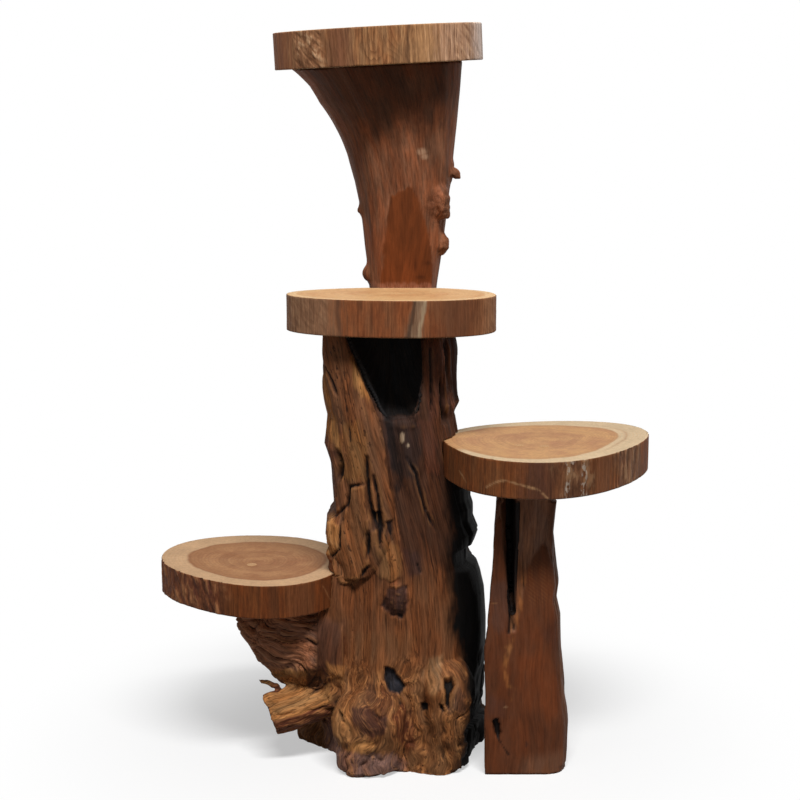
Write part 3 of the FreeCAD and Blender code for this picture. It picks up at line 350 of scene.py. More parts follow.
def slabFrame(node):  # a slab's own axes, and its CAD outline as a radius at each bearing
    points, corners = arraysOf(nodes[node].data)
    first, second, third = (points[corners[:, i]] for i in range(3))
    cross = np.cross(second - first, third - first)
    facing = cross / (np.linalg.norm(cross, axis=1, keepdims=True) + 1e-15)
    up = cross[facing[:, 2] > 0.9].sum(0)
    up = cross[facing @ (up / np.linalg.norm(up)) > 0.9999].sum(0)
    up /= np.linalg.norm(up)
    side = np.array((1, 0, 0)) - up * up[0]
    side /= np.linalg.norm(side)
    axes = np.array((side, np.cross(up, side), up))
    local = points @ axes.T
    low, high = local.min(0), local.max(0)
    middle = (low + high) / 2
    tree = BVHTree.FromPolygons(local.tolist(), corners.tolist())
    bearings = np.linspace(0, 2 * math.pi, slabGrid["bearings"], endpoint=False)
    radius = []
    height = low[2] + 0.3 * (high[2] - low[2])
    for bearing in bearings:
        out = np.array((math.cos(bearing), math.sin(bearing), 0))
        start = (middle[0] + out[0], middle[1] + out[1], height)
        hit = tree.ray_cast(start, -out)[0]
        radius.append(math.hypot(hit[0] - middle[0], hit[1] - middle[1]))
    return axes, middle, low[2], high[2], bearings, np.array(radius)


def rimRelief(look, bearings, radius, heights):  # shift of the rim, its rough places, folds and figure
    out = np.stack((np.cos(bearings) * radius, np.sin(bearings) * radius, heights), 1)
    seed, degrees = look["seed"], np.degrees(bearings)
    wander = 7 * gradientNoise(out / 0.03, seed + 5)
    rough = np.zeros(len(out))
    for first, last, share in look["rough"]:
        rough = np.maximum(rough, share * smooth(first - 5, first + 5, degrees + wander)
                           * smooth(last + 5, last - 5, degrees + wander))
    leant = bearings + look["foldLean"] * heights / radius
    bent = np.stack((np.cos(leant) * radius, np.sin(leant) * radius, heights), 1)
    folds = (layered(bent / (0.011, 0.011, 0.045), seed + 9)
             + 0.35 * layered(bent / (0.006, 0.006, 0.012), seed + 13))
    shift = look["ridge"] * layered(out / (0.007, 0.007, 0.16), seed) + look["fold"] * rough * folds
    zigzag = np.abs((degrees / look["peaks"] + 0.3 * gradientNoise(out / 0.05, seed + 21)) % 1 - 0.5) * 2
    figure = (gradientNoise(out / (0.034, 0.034, 0.075), seed + 17) + heights / 0.07 + 0.9 * zigzag
              + 0.4 * gradientNoise(out / (0.012, 0.012, 0.04), seed + 19))
    return shift, rough, folds, figure


def storeBearing(mesh, degrees, count):  # on face corners, so that the last column ends at 360 and not at 0
    corners = np.empty(len(mesh.loops), np.int32)
    mesh.loops.foreach_get("vertex_index", corners)
    values = degrees[corners]
    order = np.arange(len(corners))
    quads = order < 4 * sum(len(polygon.vertices) == 4 for polygon in mesh.polygons)
    values[quads & (order // 4 % count == count - 1) & (values < 1)] += 360
    field = mesh.attributes.new("bearing", "FLOAT", "CORNER")
    field.data.foreach_set("value", values.astype(np.float32))


def crossCut(name, look):
    axes, middle, low, high, bearings, radius = slabFrame(look["node"])
    count = len(bearings)
    arris = slabGrid["arris"]
    turn = np.linspace(0, math.pi / 2, 4)
    profile = [(share, 0, high, 0) for share in np.linspace(slabGrid["pithRing"], 1, slabGrid["faceRings"])]
    profile += [(1, arris * math.sin(a), high - arris * (1 - math.cos(a)), math.sin(a)) for a in turn[1:]]
    profile += [(1, arris, h, 1) for h in np.linspace(high - arris, low + arris, slabGrid["rimRows"])[1:-1]]
    profile += [(1, arris * math.sin(a), low + arris * (1 - math.cos(a)), math.sin(a)) for a in turn[::-1]]
    inwards = np.linspace(1, slabGrid["pithRing"], slabGrid["underRings"])[1:]
    profile += [(share, 0, low, 0) for share in inwards]
    rows = len(profile)
    share, inset, height, rim = (np.repeat(column, count) for column in np.array(profile).T)
    bearing, outline = np.tile(bearings, rows), np.tile(radius, rows)
    shift, rough, folds, figure = rimRelief(look, bearing, outline, height - low)
    compass = np.stack((np.cos(bearing), np.sin(bearing), 0 * height), 1)
    chips = smooth(0.25, 0.6, layered(compass * slabGrid["chipsRound"], look["seed"] + 3))
    reach = share * (outline - arris) + inset + shift * rim
    reach -= slabGrid["chip"] * chips * (1 + 2 * rough) * (rim > 0) * (rim < 0.99)
    local = np.stack((middle[0] + reach * np.cos(bearing), middle[1] + reach * np.sin(bearing), height), 1)
    poles = np.array(((middle[0], middle[1], high), (middle[0], middle[1], low)))
    faces = []
    around = np.arange(count)
    after = (around + 1) % count
    for row in range(rows - 1):
        a, b = row * count, (row + 1) * count
        faces += np.stack((a + around, b + around, b + after, a + after), 1).tolist()
    faces += np.stack((np.full(count, rows * count), around, after), 1).tolist()
    last = (rows - 1) * count
    faces += np.stack((np.full(count, rows * count + 1), last + after, last + around), 1).tolist()
    mesh = bpy.data.meshes.new(name)
    mesh.from_pydata((np.concatenate((local, poles)) @ axes).tolist(), [], faces)
    # growth rings: round the pith in the middle, like the outline towards the rim
    across = np.stack((reach * np.cos(bearing), reach * np.sin(bearing)), 1)
    pith = np.array(look["pith"]) * radius.mean()
    fromPith = np.linalg.norm(across - pith * (1 - share[:, None]), axis=1) / outline
    lean = 1 + look["sapLean"][0] * np.cos(bearing) + look["sapLean"][1] * np.sin(bearing)
    ring = np.append(fromPith * lean, (0, 0))
    cut = np.concatenate((np.stack((across[:, 0], across[:, 1], height - low), 1),
                          ((0, 0, high - low), (0, 0, 0))))
    level = (height - low) / (high - low)
    unroll = (slabGrid["rimPerDegree"], slabGrid["rimHigh"])
    unrolled = np.stack((np.degrees(bearing) * unroll[0], level * unroll[1], 0 * level), 1)
    wander = slabGrid["trackWander"] * layered(unrolled / 9, look["seed"] + 25, 2)
    track = np.zeros(len(level))
    for path in look["tracks"]:
        away = pathDistance(unrolled[:, :2], np.array(path) * unroll)
        track = np.maximum(track, groove(away + wander, slabGrid["trackHalf"]))

    def withPoles(values):  # the two points in the middles of the faces come last
        return np.append(values, (0, 0))

    store(mesh, grain=cut, ring=ring, rim=withPoles(rim), rough=withPoles(rough), folds=withPoles(folds),
          figure=withPoles(figure), height=withPoles(level), track=withPoles(track))
    storeBearing(mesh, withPoles(np.degrees(bearing)), count)
    addPiece(name, mesh, look["node"])
    mesh.materials.append(slabFinish(name + "Wood", look))
    print(name, "made with", len(mesh.polygons), "faces")


def slabFinish(name, look):
    f = Finish(name)
    grain, ring, rim = f.place(), f.field("ring"), f.field("rim")
    bearing, height = f.field("bearing"), f.field("height")
    wobble = f.noise(grain, 0.035, 0.4, 2) - 0.5
    fine = f.noise(grain, 0.0022, 0.05, 2)
    cloud = f.noise(grain, 0.045, 0.6, 4, 0.6)
    # sawn face: heartwood with its rings, its darker edge, and pale sapwood
    bent = ring + wobble * 0.06
    line = (bent * look["rings"]).fraction() ** 2.5
    coarse = f.noise(f.add("ShaderNodeCombineXYZ", None, {"X": bent * 9, "Y": 0.5, "Z": 0.5}), 1, 1, 3)
    heartLight, heartDark = (tone(*colour) for colour in look["heart"])
    heart = f.mix((coarse * 0.4 + cloud * 0.6).ramp(0.37, 0.63), heartLight, heartDark)
    heart = f.mix(line * 0.8 * cloud, heart, tone(*look["heartLine"]))
    edge = bent + (fine - 0.5) * 0.012 + (cloud - 0.5) * 0.04
    start = look["sapStart"]
    heart = f.mix(edge.ramp(start - 0.24, start - 0.06) * look["heartEdge"], heart, tone(*look["heartLine"]))
    gapAt, gapHalf = look["sapGap"]
    sap = edge.ramp(start - 0.02, start + 0.02) * ((bearing - gapAt).size() / gapHalf).ramp(0.6, 1)
    pale = f.mix(line * 0.35, tone(*look["sap"]), heartLight)
    greyed = (1 - ((edge - start - 0.09).size() / 0.035).ramp(0, 1)) * (bearing - 180).size().ramp(110, 170)
    pale = f.mix(greyed * look["greyBand"], pale, heartDark)
    face = f.mix(sap, heart, pale)
    border = 1 - ((edge - start + 0.012).size() / 0.03).ramp(0, 1)
    face = f.mix(border * 0.25, face, tone(*look["heartLine"]))
    face = f.mix(fine.ramp(0.45, 0.75) * 0.18, face, tone(*look["heartLine"]))
    # rim: the outside of the log, with streaks along it, figure, and rough weathered places
    streak = f.noise(grain, 0.0032, 0.06, 4, 0.62)
    broad = f.noise(grain, 0.02, 0.2, 3)
    mottle = f.noise(grain, 0.013, 0.028, 4, 0.65)
    grit = f.noise(grain, 0.0016, 0.013, 3, 0.6)
    side = f.mix((streak * 0.5 + mottle * 0.5).ramp(0.34, 0.66), tone(*look["rim"][1]), tone(*look["rim"][0]))
    warm = f.mix(f.noise(grain, 0.016, 0.05, 2).ramp(0.32, 0.68), (0.93, 1.02, 1.08), (1.08, 0.98, 0.88))
    side = f.mix(1, side, warm, "MULTIPLY")
    drawn = (f.field("figure") * look["lines"] + streak * 0.5).fraction() ** 2.5
    side = f.mix(drawn * look["figure"] * broad.ramp(0.2, 0.6) * 0.7, side, tone(*look["rimLine"]))
    thin = f.noise(grain, 0.0017, 0.08, 2).ramp(0.5, 0.64) * broad.ramp(0.3, 0.6)
    wander = (f.noise(grain, 0.02, 0.035, 2) - 0.5) * 7
    for middle, half, lean, colour, lines in look["streaks"]:
        off = bearing - middle + (height - 0.5) * -lean + wander + (streak - 0.5) * half * 1.6
        off = (((off / 360 + 0.5).fraction() - 0.5) * 360).size()
        band = 1 - (off / half).ramp(0.1, 1.25)
        side = f.mix(band * (0.35 + streak * 0.9), side, tone(*colour))
        side = f.mix(band * thin * lines, side, tone(*look["rimLine"]))
    rough, folds = f.field("rough"), f.field("folds")
    patch = f.noise(grain, 0.008, 0.02, 4, 0.6)
    crust = f.mix(patch.ramp(0.38, 0.6), tone(*look["crust"][1]), tone(*look["crust"][0]))
    crust = f.mix((folds * 0.5 + patch).ramp(0.58, 0.75) * 0.75, crust, tone(*look["crust"][2]))
    side = f.mix(rough * (0.4 + patch * 0.8), side, crust)
    side = f.mix((0 - folds + (patch - 0.5)).ramp(0.12, 0.5) * rough * 0.85, side, tone(*look["rimLine"]))
    side = f.mix(f.field("track") * mottle.ramp(0.3, 0.5) * 0.7, side, tone(*look["trackTone"]))
    for middle, half in look["flecks"]:
        spot = f.noise(grain, 0.004, 0.008, 3).ramp(0.5, 0.62)
        side = f.mix((1 - ((bearing - middle + wander).size() / half).ramp(0.4, 1)) * spot * 0.8, side,
                     tone(*look["fleckTone"]))
    side = f.mix(1, side, 1 + (grit * 0.5 + streak * 0.5 - 0.5) * look["grit"], "MULTIPLY")
    clouded = cloud * 0.5 + f.noise(grain, 0.006, 0.4, 3, 0.6) * 0.5 + 0.5
    face = f.mix(1, face, clouded, "MULTIPLY")
    colour = f.mix(rim.ramp(0.35, 0.75), face, side)
    relief = streak * rim + patch * rough + (1 - rim) * (line * 0.15 + fine * 0.25)
    return f.done(colour, 0.62 - sap * 0.05 + rim * 0.06, relief, 0.0007)


# Sculpting: points are millimetres, and places on the front are (across, up)

def neighbours(mesh):
    edges = np.empty(len(mesh.edges) * 2, np.int32)
    mesh.edges.foreach_get("vertices", edges)
    return edges.reshape(-1, 2)


def blurred(values, edges, rounds):  # averaged over the mesh's edges
    count = np.bincount(edges.ravel(), minlength=len(values)) + 1
    for _ in range(rounds):
        total = values.copy()
        for column in range(values.shape[1]):
            total[:, column] += np.bincount(edges[:, 0], values[edges[:, 1], column], len(values))
            total[:, column] += np.bincount(edges[:, 1], values[edges[:, 0], column], len(values))
        values = total / count[:, None]
    return values


def cavities(mesh, rounds=7):  # in millimetres, above 0 in hollows and below 0 on ridges
    points, _ = arraysOf(mesh)
    smoothed = blurred(points, neighbours(mesh), rounds)
    return ((smoothed - points) * normalsOf(mesh)).sum(1) / mm


def lump(centre, radii, lean=0, rings=9, turns=14):  # a rounded blob to fuse with a piece
    up = np.repeat(np.linspace(0, math.pi, rings), turns)
    around = np.tile(np.linspace(0, 2 * math.pi, turns, endpoint=False), rings)
    ball = np.stack((np.sin(up) * np.cos(around), np.sin(up) * np.sin(around), np.cos(up)), 1) * radii
    ball[:, 2] += lean * ball[:, 0]
    faces = []
    for row in range(rings - 1):
        for turn in range(turns):
            a, b = row * turns + turn, row * turns + (turn + 1) % turns
            faces += [(a, a + turns, b + turns), (a, b + turns, b)]
    return (ball + centre) * mm, faces


def patchesOn(flat, edge):  # 1 inside an outline on the front, fading over its ragged edge
    def within(corners, soft, ragged=1.0):
        return smooth(-soft, soft, depthInside(flat, corners) + ragged * edge)

    return within


def reliefOn(grain, seed):  # ripples and furrows that run with the grain
    def ripple(shape, number, layers=2):
        height, across, length = shape
        return height * layered(grain / (across, across, length), seed + number, layers)

    def furrow(shape, number):
        depth, across, length, width = shape
        return depth * groove(layered(grain / (across, across, length), seed + number, 2), width)

    return ripple, furrow


def spotAt(flat, across, up, halfWide, halfHigh):  # 1 on the edge of an upright oval, less inside it
    return np.hypot((flat[:, 0] - across) / halfWide, (flat[:, 1] - up) / halfHigh)


def levelFaces(n):  # 1 where the surface lies flat
    return smooth(0.85, 0.97, np.abs(n[:, 2]))


def roundGrain(girth, turned, z):  # grain that runs up a log, from the bearing round it
    return np.stack((girth * np.cos(turned), girth * np.sin(turned), z), 1)


def brush(tint, mask, colour):  # lays a colour over the painted tint
    tint += mask[:, None] * (np.array(tone(*colour)) - tint)


def settled(p, mesh, places, rounds):  # lets knobs run softly into the wood around them
    soft = blurred(p, neighbours(mesh), rounds)
    for sx, sz, reach in places:
        share = np.exp(-(np.hypot(p[:, 0] - sx, p[:, 2] - sz) / reach) ** 4)
        p = p + share[:, None] * (soft - p)
    return p


def toEdge(p, profile, way, back=60, middle=0, most=13, fade=60, band=4):
    # sideways shift that brings the silhouette on one side to its measured places
    heights, places = np.array(sorted(profile)).T
    near = p[p[:, 1] < back]
    now = np.array([way * (way * near[np.abs(near[:, 2] - height) < band, 0]).max() for height in heights])
    shift = np.interp(p[:, 2], heights, np.clip(places - now, -most, most))
    inside = ((p[:, 2] >= heights[0]) & (p[:, 2] <= heights[-1])) * smooth(back, back - fade, p[:, 1])
    outward = (p[:, 0] - middle) / (np.interp(p[:, 2], heights, now) - middle)
    return shift * smooth(0.55, 0.9, outward) * inside


def spine(p, bins=24):  # middle of each level of an upright piece
    edges = np.linspace(p[:, 2].min(), p[:, 2].max(), bins + 1)
    level = np.clip(np.digitize(p[:, 2], edges) - 1, 0, bins - 1)
    heights = (edges[1:] + edges[:-1]) / 2
    line = []
    for axis in (0, 1):
        parts = [p[level == step, axis] for step in range(bins)]
        middles = [(part.min() + part.max()) / 2 for part in parts]
        line.append(np.polyval(np.polyfit(heights, middles, 3), p[:, 2]))
    return line


# Stump

stump = dict(
    node="stump", voxel=2.0 * mm, seed=50, axis=(-6, 12), girth=110, twistFrom=290, twist=0.2,
    # bits that the solid lacks: middle, radii and lean
    lumps=[((-184, -66, 109), (24, 4, 3.4), -0.45), ((-200, -40, 190), (20, 22, 16), 0),
           ((1, -87, 500), (27, 13, 13), 0)],
    # silhouette as seen from the front: height and place across
    rightEdge=[(630, 78), (574, 83), (532, 84), (523, 86), (504, 80), (480, 84), (415, 100), (404, 105),
               (382, 104), (369, 108), (352, 107), (333, 115), (315, 109), (309, 100), (288, 99),
               (282, 114), (268, 119), (242, 125), (195, 128), (150, 129), (110, 129), (70, 127),
               (40, 121)],
    leftEdge=[(630, -112), (557, -112), (528, -110), (505, -105), (485, -107), (463, -110), (436, -101),
              (406, -98), (380, -96), (367, -96), (358, -106), (329, -109), (306, -108), (298, -104),
              (283, -103)],
    # outlines on the front
    plank=[(-140, 660), (-84, 660), (-74, 620), (-54, 572), (-33, 528), (-22, 466), (-10, 391), (-1, 351),
           (-1, 323), (3, 283), (-13, 275), (-28, 283), (-43, 301), (-64, 270), (-84, 272), (-97, 298),
           (-140, 305)],
    plate=[(-69, 414), (-49, 418), (-48, 391), (-45, 351), (-47, 329), (-43, 301), (-54, 294), (-57, 281),
           (-64, 270), (-84, 272), (-91, 283), (-97, 298), (-85, 323), (-83, 360), (-72, 387)],
    block=[(-130, 365), (-96, 365), (-85, 355), (-85, 323), (-98, 309), (-130, 300)],
    # cracks: path, half width and depth
    slots=[([(-104, 583), (-96, 564), (-88, 543)], 1.8, 5),
           ([(-81, 572), (-72, 514), (-66, 466)], 1.3, 2),
           ([(-89, 464), (-84, 444), (-87, 420)], 4.0, 11),
           ([(-52, 419), (-69, 415), (-75, 386), (-92, 366)], 1.9, 4.5),
           ([(-84, 356), (-84, 323), (-97, 309)], 1.9, 5),
           ([(-47, 458), (-46, 429), (-43, 398), (-35, 356)], 3.2, 10),
           ([(-37, 432), (-31, 403), (-27, 358)], 2.4, 8), ([(-44, 353), (-44, 332), (-46, 312)], 2.4, 7),
           ([(-44, 302), (-57, 283)], 1.8, 4),
           ([(10, 456), (23, 432), (29, 406), (37, 378), (51, 349)], 1.6, 5),
           ([(24, 304), (29, 290)], 1.6, 4), ([(42, 620), (44, 520)], 1.8, 4),
           ([(58, 566), (65, 499)], 3.0, 8), ([(66, 625), (71, 545)], 2.2, 6)],
    hollow=[(-76, 650), (-74, 620), (-54, 572), (-33, 528), (-25, 515), (-10, 512), (10, 514), (25, 523),
            (29, 543), (29, 572), (24, 650)],
    hollowDeep=9,
    knot=[(-27, 240), (-18, 269), (10, 272), (13, 248), (4, 221), (-12, 228)], knotSunk=3,
    # outline, depth and colour
    holes=[([(-40, 380), (-26, 380), (-24, 358), (-28, 325), (-32, 352)], 7, (30, 22, 20)),
           ([(-20, 366), (-12, 366), (-11, 336), (-16, 350)], 4, (54, 38, 34)),
           ([(-22, 152), (-9, 146), (7, 123), (0, 111), (-15, 117), (-23, 132)], 7, (44, 42, 46)),
           ([(63, 142), (74, 143), (78, 135), (71, 123), (69, 103), (64, 107), (64, 125)], 13,
            (20, 16, 14)),
           ([(29, 100), (34, 102), (35, 93), (31, 91)], 9, (22, 17, 14)),
           ([(55, 109), (60, 107), (61, 98), (56, 100)], 9, (22, 17, 14)),
           ([(-89, 95), (-84, 92), (-82, 85), (-87, 85)], 9, (22, 17, 14))],
    prongStart=(-78, -58, 104), prongAxis=(-0.935, -0.199, -0.292), prongFace=(0.12, -0.62, 0.77),
    prongFlat=20,
    # colours
    trunk=(75, 46, 31), lower=(116, 71, 43), plankTone=(118, 75, 48), plateTone=(124, 79, 48),
    # the bracket's colour is set lighter to stand in for light it lacks under the left slab: painted light
    blockTone=(172, 119, 72), bracket=(160, 108, 80), prong=(104, 60, 42), prongTop=(160, 111, 66),
    root=(124, 80, 48), knotTone=(68, 43, 34), flankDarkAndShade=(10, 8, 7), crack=(17, 13, 12),
    # the hollow's near-black holds its dark inside and painted shade
    hollowDarkAndShade=(30, 27, 26), back=(84, 56, 40), gold=(186, 128, 76), goldRoot=0.7,
    # the right side, painted near black: partly its dark bark, partly painted shade
    flank=[(64, 425), (66, 375), (73, 345), (66, 314), (72, 251), (70, 207), (82, 179), (94, 119),
           (95, 64), (84, 30), (76, -20), (190, -20), (190, 425)],
    # places on the front, colour, softness of the edge and share
    paint=[([(-25, 518), (27, 524), (32, 470), (26, 425), (0, 428), (-14, 440), (-22, 480)], (50, 37, 33),
            5, 0.8),
           ([(31, 507), (47, 507), (54, 430), (36, 430)], (98, 57, 40), 4, 0.8),
           ([(33, 620), (66, 620), (68, 520), (40, 505)], (84, 52, 40), 4, 0.8),
           ([(60, 615), (65, 615), (75, 540), (79, 514), (73, 520), (69, 545)], (150, 108, 92), 2, 0.6),
           # painted shade on the upper right of the trunk
           ([(67, 640), (90, 640), (90, 540), (80, 525), (72, 548)], (46, 27, 23), 3, 0.9),
           ([(-130, 572), (-104, 572), (-95, 520), (-82, 480), (-70, 425), (-84, 424), (-93, 470),
             (-130, 500)],
            (164, 110, 62), 5, 0.85),
           ([(-66, 600), (-56, 577), (-40, 545), (-46, 536), (-62, 560)], (168, 115, 64), 4, 0.8),
           ([(-78, 500), (-58, 510), (-44, 470), (-48, 425), (-70, 425)], (138, 93, 52), 6, 0.7),
           ([(-130, 466), (-91, 466), (-90, 421), (-86, 381), (-130, 381)], (84, 51, 37), 3, 0.9),
           ([(-36, 350), (-27, 326), (-13, 340), (-1, 323), (3, 285), (-13, 276), (-28, 284)],
            (138, 92, 54), 3, 0.8),
           ([(-40, 352), (-26, 352), (-14, 340), (-26, 372), (-36, 375)], (62, 42, 38), 3, 0.7),
           ([(5, 325), (24, 318), (30, 290), (14, 285), (8, 305)], (66, 42, 36), 4, 0.7),
           ([(-134, 226), (-84, 216), (-78, 164), (-85, 133), (-120, 148)], (72, 46, 36), 9, 0.75),
           # painted shade along the right of the rib, beside the plank
           ([(-23, 522), (-15, 470), (-7, 430), (-2, 396), (5, 415), (-2, 460), (-12, 522)], (24, 18, 17),
            3, 0.85),
           ([(-74, 200), (22, 200), (22, 160), (-22, 154), (-66, 160)], (122, 80, 50), 8, 0.6),
           ([(-71, 100), (-48, 107), (-20, 93), (-18, 72), (-40, 64), (-63, 76)], (74, 44, 33), 3, 0.95),
           ([(-70, 56), (-40, 60), (-33, 52), (-49, 41), (-80, 40)], (188, 131, 78), 2, 0.9),
           ([(-102, 54), (-90, 95), (-74, 104), (-66, 74), (-70, 56)], (184, 126, 76), 3, 0.75),
           ([(-110, 40), (-74, 40), (-11, 36), (9, 12), (9, -9), (-110, -9)], (152, 111, 96), 5, 0.85),
           ([(-104, 156), (-77, 147), (-84, 126), (-106, 126)], (170, 116, 68), 4, 0.7),
           ([(-137, 147), (-110, 152), (-100, 128), (-118, 114), (-134, 122)], (70, 41, 30), 3, 0.9),
           ([(-11, 92), (9, 104), (22, 49), (12, 24), (-3, 54)], (96, 49, 29), 4, 0.85),
           ([(-46, 128), (-4, 124), (6, 110), (-20, 96), (-50, 110)], (96, 56, 35), 4, 0.7),
           ([(40, 165), (58, 165), (60, 130), (44, 118), (34, 136)], (168, 130, 92), 5, 0.55),
           ([(64, 98), (92, 96), (94, 120), (80, 136), (66, 112)], (84, 58, 46), 4, 0.7)],
    # across, up, half width and half height
    drips=[(3, 485, 3, 8), (11, 474, 2, 3)], dripTone=(168, 140, 112),
    # limits of the zones, from none to all of it
    frontFrom=(-20, -45), nearFrom=(28, -12), upperFrom=(250, 330), lowerTop=(330, 250),
    rootTop=(175, 120), flankFrom=(60, 10), sawnTop=630, rootCurl=13, prongFrom=(22, 40),
    prongWide=(62, 50), bracketFrom=(-110, -126), bracketOver=(104, 128), bracketSlope=0.25,
    # relief: height, width across the grain and length along it; furrows have their own width last
    swell=(2.2, 45, 200), ripple=(0.6, 13, 110), upperGain=1.5, furrow=(2.4, 30, 210, 0.11),
    rootRipple=(2.2, 12, 50), rootLump=(3, 26), rootFurrow=(3, 24, 70, 0.12), bracketRipple=(4, 13, 70),
    bracketFurrow=(4.5, 18, 90, 0.16), plankRipple=(0.8, 5.5, 60), plankRise=1.5, plateRise=3,
    blockRise=3, knotLump=(2.2, 11), prongRipple=(1.2, 8, 60),
)


def sculptStump():
    look, seed = stump, stump["seed"]
    mesh = evenMesh(look["node"], look["voxel"], [lump(*shape) for shape in look["lumps"]])
    p = arraysOf(mesh)[0] / mm
    n = normalsOf(mesh)
    p[:, 0] += toEdge(p, look["rightEdge"], 1) + toEdge(p, look["leftEdge"], -1)
    x, y, z = p.T
    front = smooth(0.1, 0.5, -n[:, 1]) * smooth(*look["frontFrom"], y)
    near = smooth(*look["nearFrom"], y + 22 * gradientNoise(p / (30, 30, 70), seed + 5))
    upper = smooth(*look["upperFrom"], z)
    root = smooth(*look["rootTop"], z + 12 * gradientNoise(p / 35, seed + 3))
    # grain runs up the trunk with a twist, wavers in the roots, and runs along the prong and the bracket
    turned = (np.arctan2(y - look["axis"][1], x - look["axis"][0]) + look["twist"] / look["girth"]
              * np.maximum(z - look["twistFrom"], 0) + 0.06 * gradientNoise(p / (60, 60, 130), seed))
    grain = roundGrain(look["girth"], turned, z)
    curl = np.stack([gradientNoise(p / 60, seed + 60 + i) + 0.4 * gradientNoise(p / 24, seed + 70 + i)
                     for i in range(3)], 1)
    grain += (look["rootCurl"] * root)[:, None] * curl
    axis = np.array(look["prongAxis"])
    fromStart = p - look["prongStart"]
    along = fromStart @ axis
    off = fromStart - along[:, None] * axis
    prong = smooth(*look["prongFrom"], along) * smooth(*look["prongWide"], np.linalg.norm(off, axis=1))
    sloped = z + look["bracketSlope"] * (x - look["bracketFrom"][0])
    bracket = smooth(*look["bracketFrom"], x) * smooth(*look["bracketOver"], sloped) * (1 - prong)
    sideways = np.cross(axis, (0, 0, 1))
    side = np.stack((off @ sideways, off @ np.cross(sideways, axis), along), 1)
    out = np.stack((y, z + 0.3 * x, 0.9 * x), 1) + 14 * curl
    grain = np.where(prong[:, None] > 0.5, side + 5 * curl, np.where(bracket[:, None] > 0.5, out, grain))

    ripple, furrow = reliefOn(grain, seed)
    flat = np.stack((x, z), 1)
    edge = 3 * layered(np.stack((x / 7, y / 40, z / 24), 1), seed + 30)
    within = patchesOn(flat, edge)
    rise = ripple(look["swell"], 1) + (1 + look["upperGain"] * upper) * ripple(look["ripple"], 4, 3)
    rise -= furrow(look["furrow"], 8) * upper
    knobs = look["rootLump"][0] * gradientNoise(p / look["rootLump"][1], seed + 18)
    rise += root * (ripple(look["rootRipple"], 16, 3) + knobs - furrow(look["rootFurrow"], 61))
    rise += bracket * (ripple(look["bracketRipple"], 20) - furrow(look["bracketFurrow"], 23))
    plank = within(look["plank"], 1.6, 1.5) * front
    plate = within(look["plate"], 1.4) * front
    block = within(look["block"], 1.4, 0.5) * front
    rise += plank * (look["plankRise"] + ripple(look["plankRipple"], 27))
    rise += look["plateRise"] * plate + look["blockRise"] * block
    dark = np.zeros(len(p))
    for path, half, deep in look["slots"]:
        first, last = np.array(path[0]), np.array(path[-1])
        fromMiddle = np.linalg.norm(flat - (first + last) / 2, axis=1) / (np.linalg.norm(last - first) / 2)
        cut = groove(pathDistance(flat, path) + 0.5 * edge, half) * front
        cut *= 0.25 + 0.75 * smooth(1.15, 0.6, fromMiddle)
        rise -= deep * cut
        dark = np.maximum(dark, cut)
    hollow = within(look["hollow"], 4, 0.7) * near
    rise -= look["hollowDeep"] * within(look["hollow"], 6, 0.5) * front
    knot = within(look["knot"], 2) * front
    rise += knot * (look["knotLump"][0] * layered(p / look["knotLump"][1], seed + 33) - look["knotSunk"])
    pits = []
    for corners, deep, colour in look["holes"]:
        pit = within(corners, 2, 0.5) * near
        rise -= deep * pit * front
        pits.append((pit, colour))
    # the prong's upper front is split off flat
    cutWay = np.array(look["prongFace"])
    split = np.maximum(off @ cutWay - look["prongFlat"] - ripple(look["prongRipple"], 44), 0) * prong
    still = smooth(0.85, 0.97, n[:, 2]) * (z > look["sawnTop"] - 30)
    moved = p + n * (rise * (1 - still))[:, None] - split[:, None] * cutWay
    moved[:, 2] = np.where(z < 1.5, 0, np.clip(moved[:, 2], 0.6, look["sawnTop"]))
    movePoints(mesh, moved * mm)

    tint = np.tile(tone(*look["back"]), (len(p), 1))
    for mask, colour in ((near, "trunk"), (near * smooth(*look["lowerTop"], z + 3 * edge), "lower"),
                         (root, "root"), (bracket, "bracket"), (prong, "prong"),
                         (smooth(0.2, 3, split), "prongTop"), (plank, "plankTone"),
                         (plate, "plateTone"), (block, "blockTone"), (knot, "knotTone")):
        brush(tint, mask, look[colour])
    for corners, colour, soft, share in look["paint"]:
        brush(tint, within(corners, soft, 1.8) * near * share, colour)
    for drip in look["drips"]:
        brush(tint, smooth(1.2, 0.7, spotAt(flat, *drip)) * front, look["dripTone"])
    # the right flank is painted near black: dark bark and painted shade
    shaded = smooth(*look["flankFrom"], y)
    brush(tint, within(look["flank"], 11, 2) * shaded, look["flankDarkAndShade"])
    for pit, colour in pits:
        brush(tint, pit, colour)
    # the hollow is painted near black: its dark inside and painted shade
    brush(tint, hollow, look["hollowDarkAndShade"])
    brush(tint, dark, look["crack"])
    calm = within(look["flank"], 11) * shaded + smooth(-16, -4, depthInside(flat, look["hollow"])) * near
    store(mesh, grain=grain * mm, cavity=cavities(mesh), tint=tint,
          root=root * smooth(0.025, 0.06, tint.mean(1)),
          fleck=np.clip(plank + 0.8 * root, 0, 1), lively=np.clip(1 - calm, 0, 1))
    addPiece("carvedStump", mesh, look["node"])
    mesh.materials.append(stumpFinish(look))
    print("stump sculpted with", len(mesh.polygons), "faces")


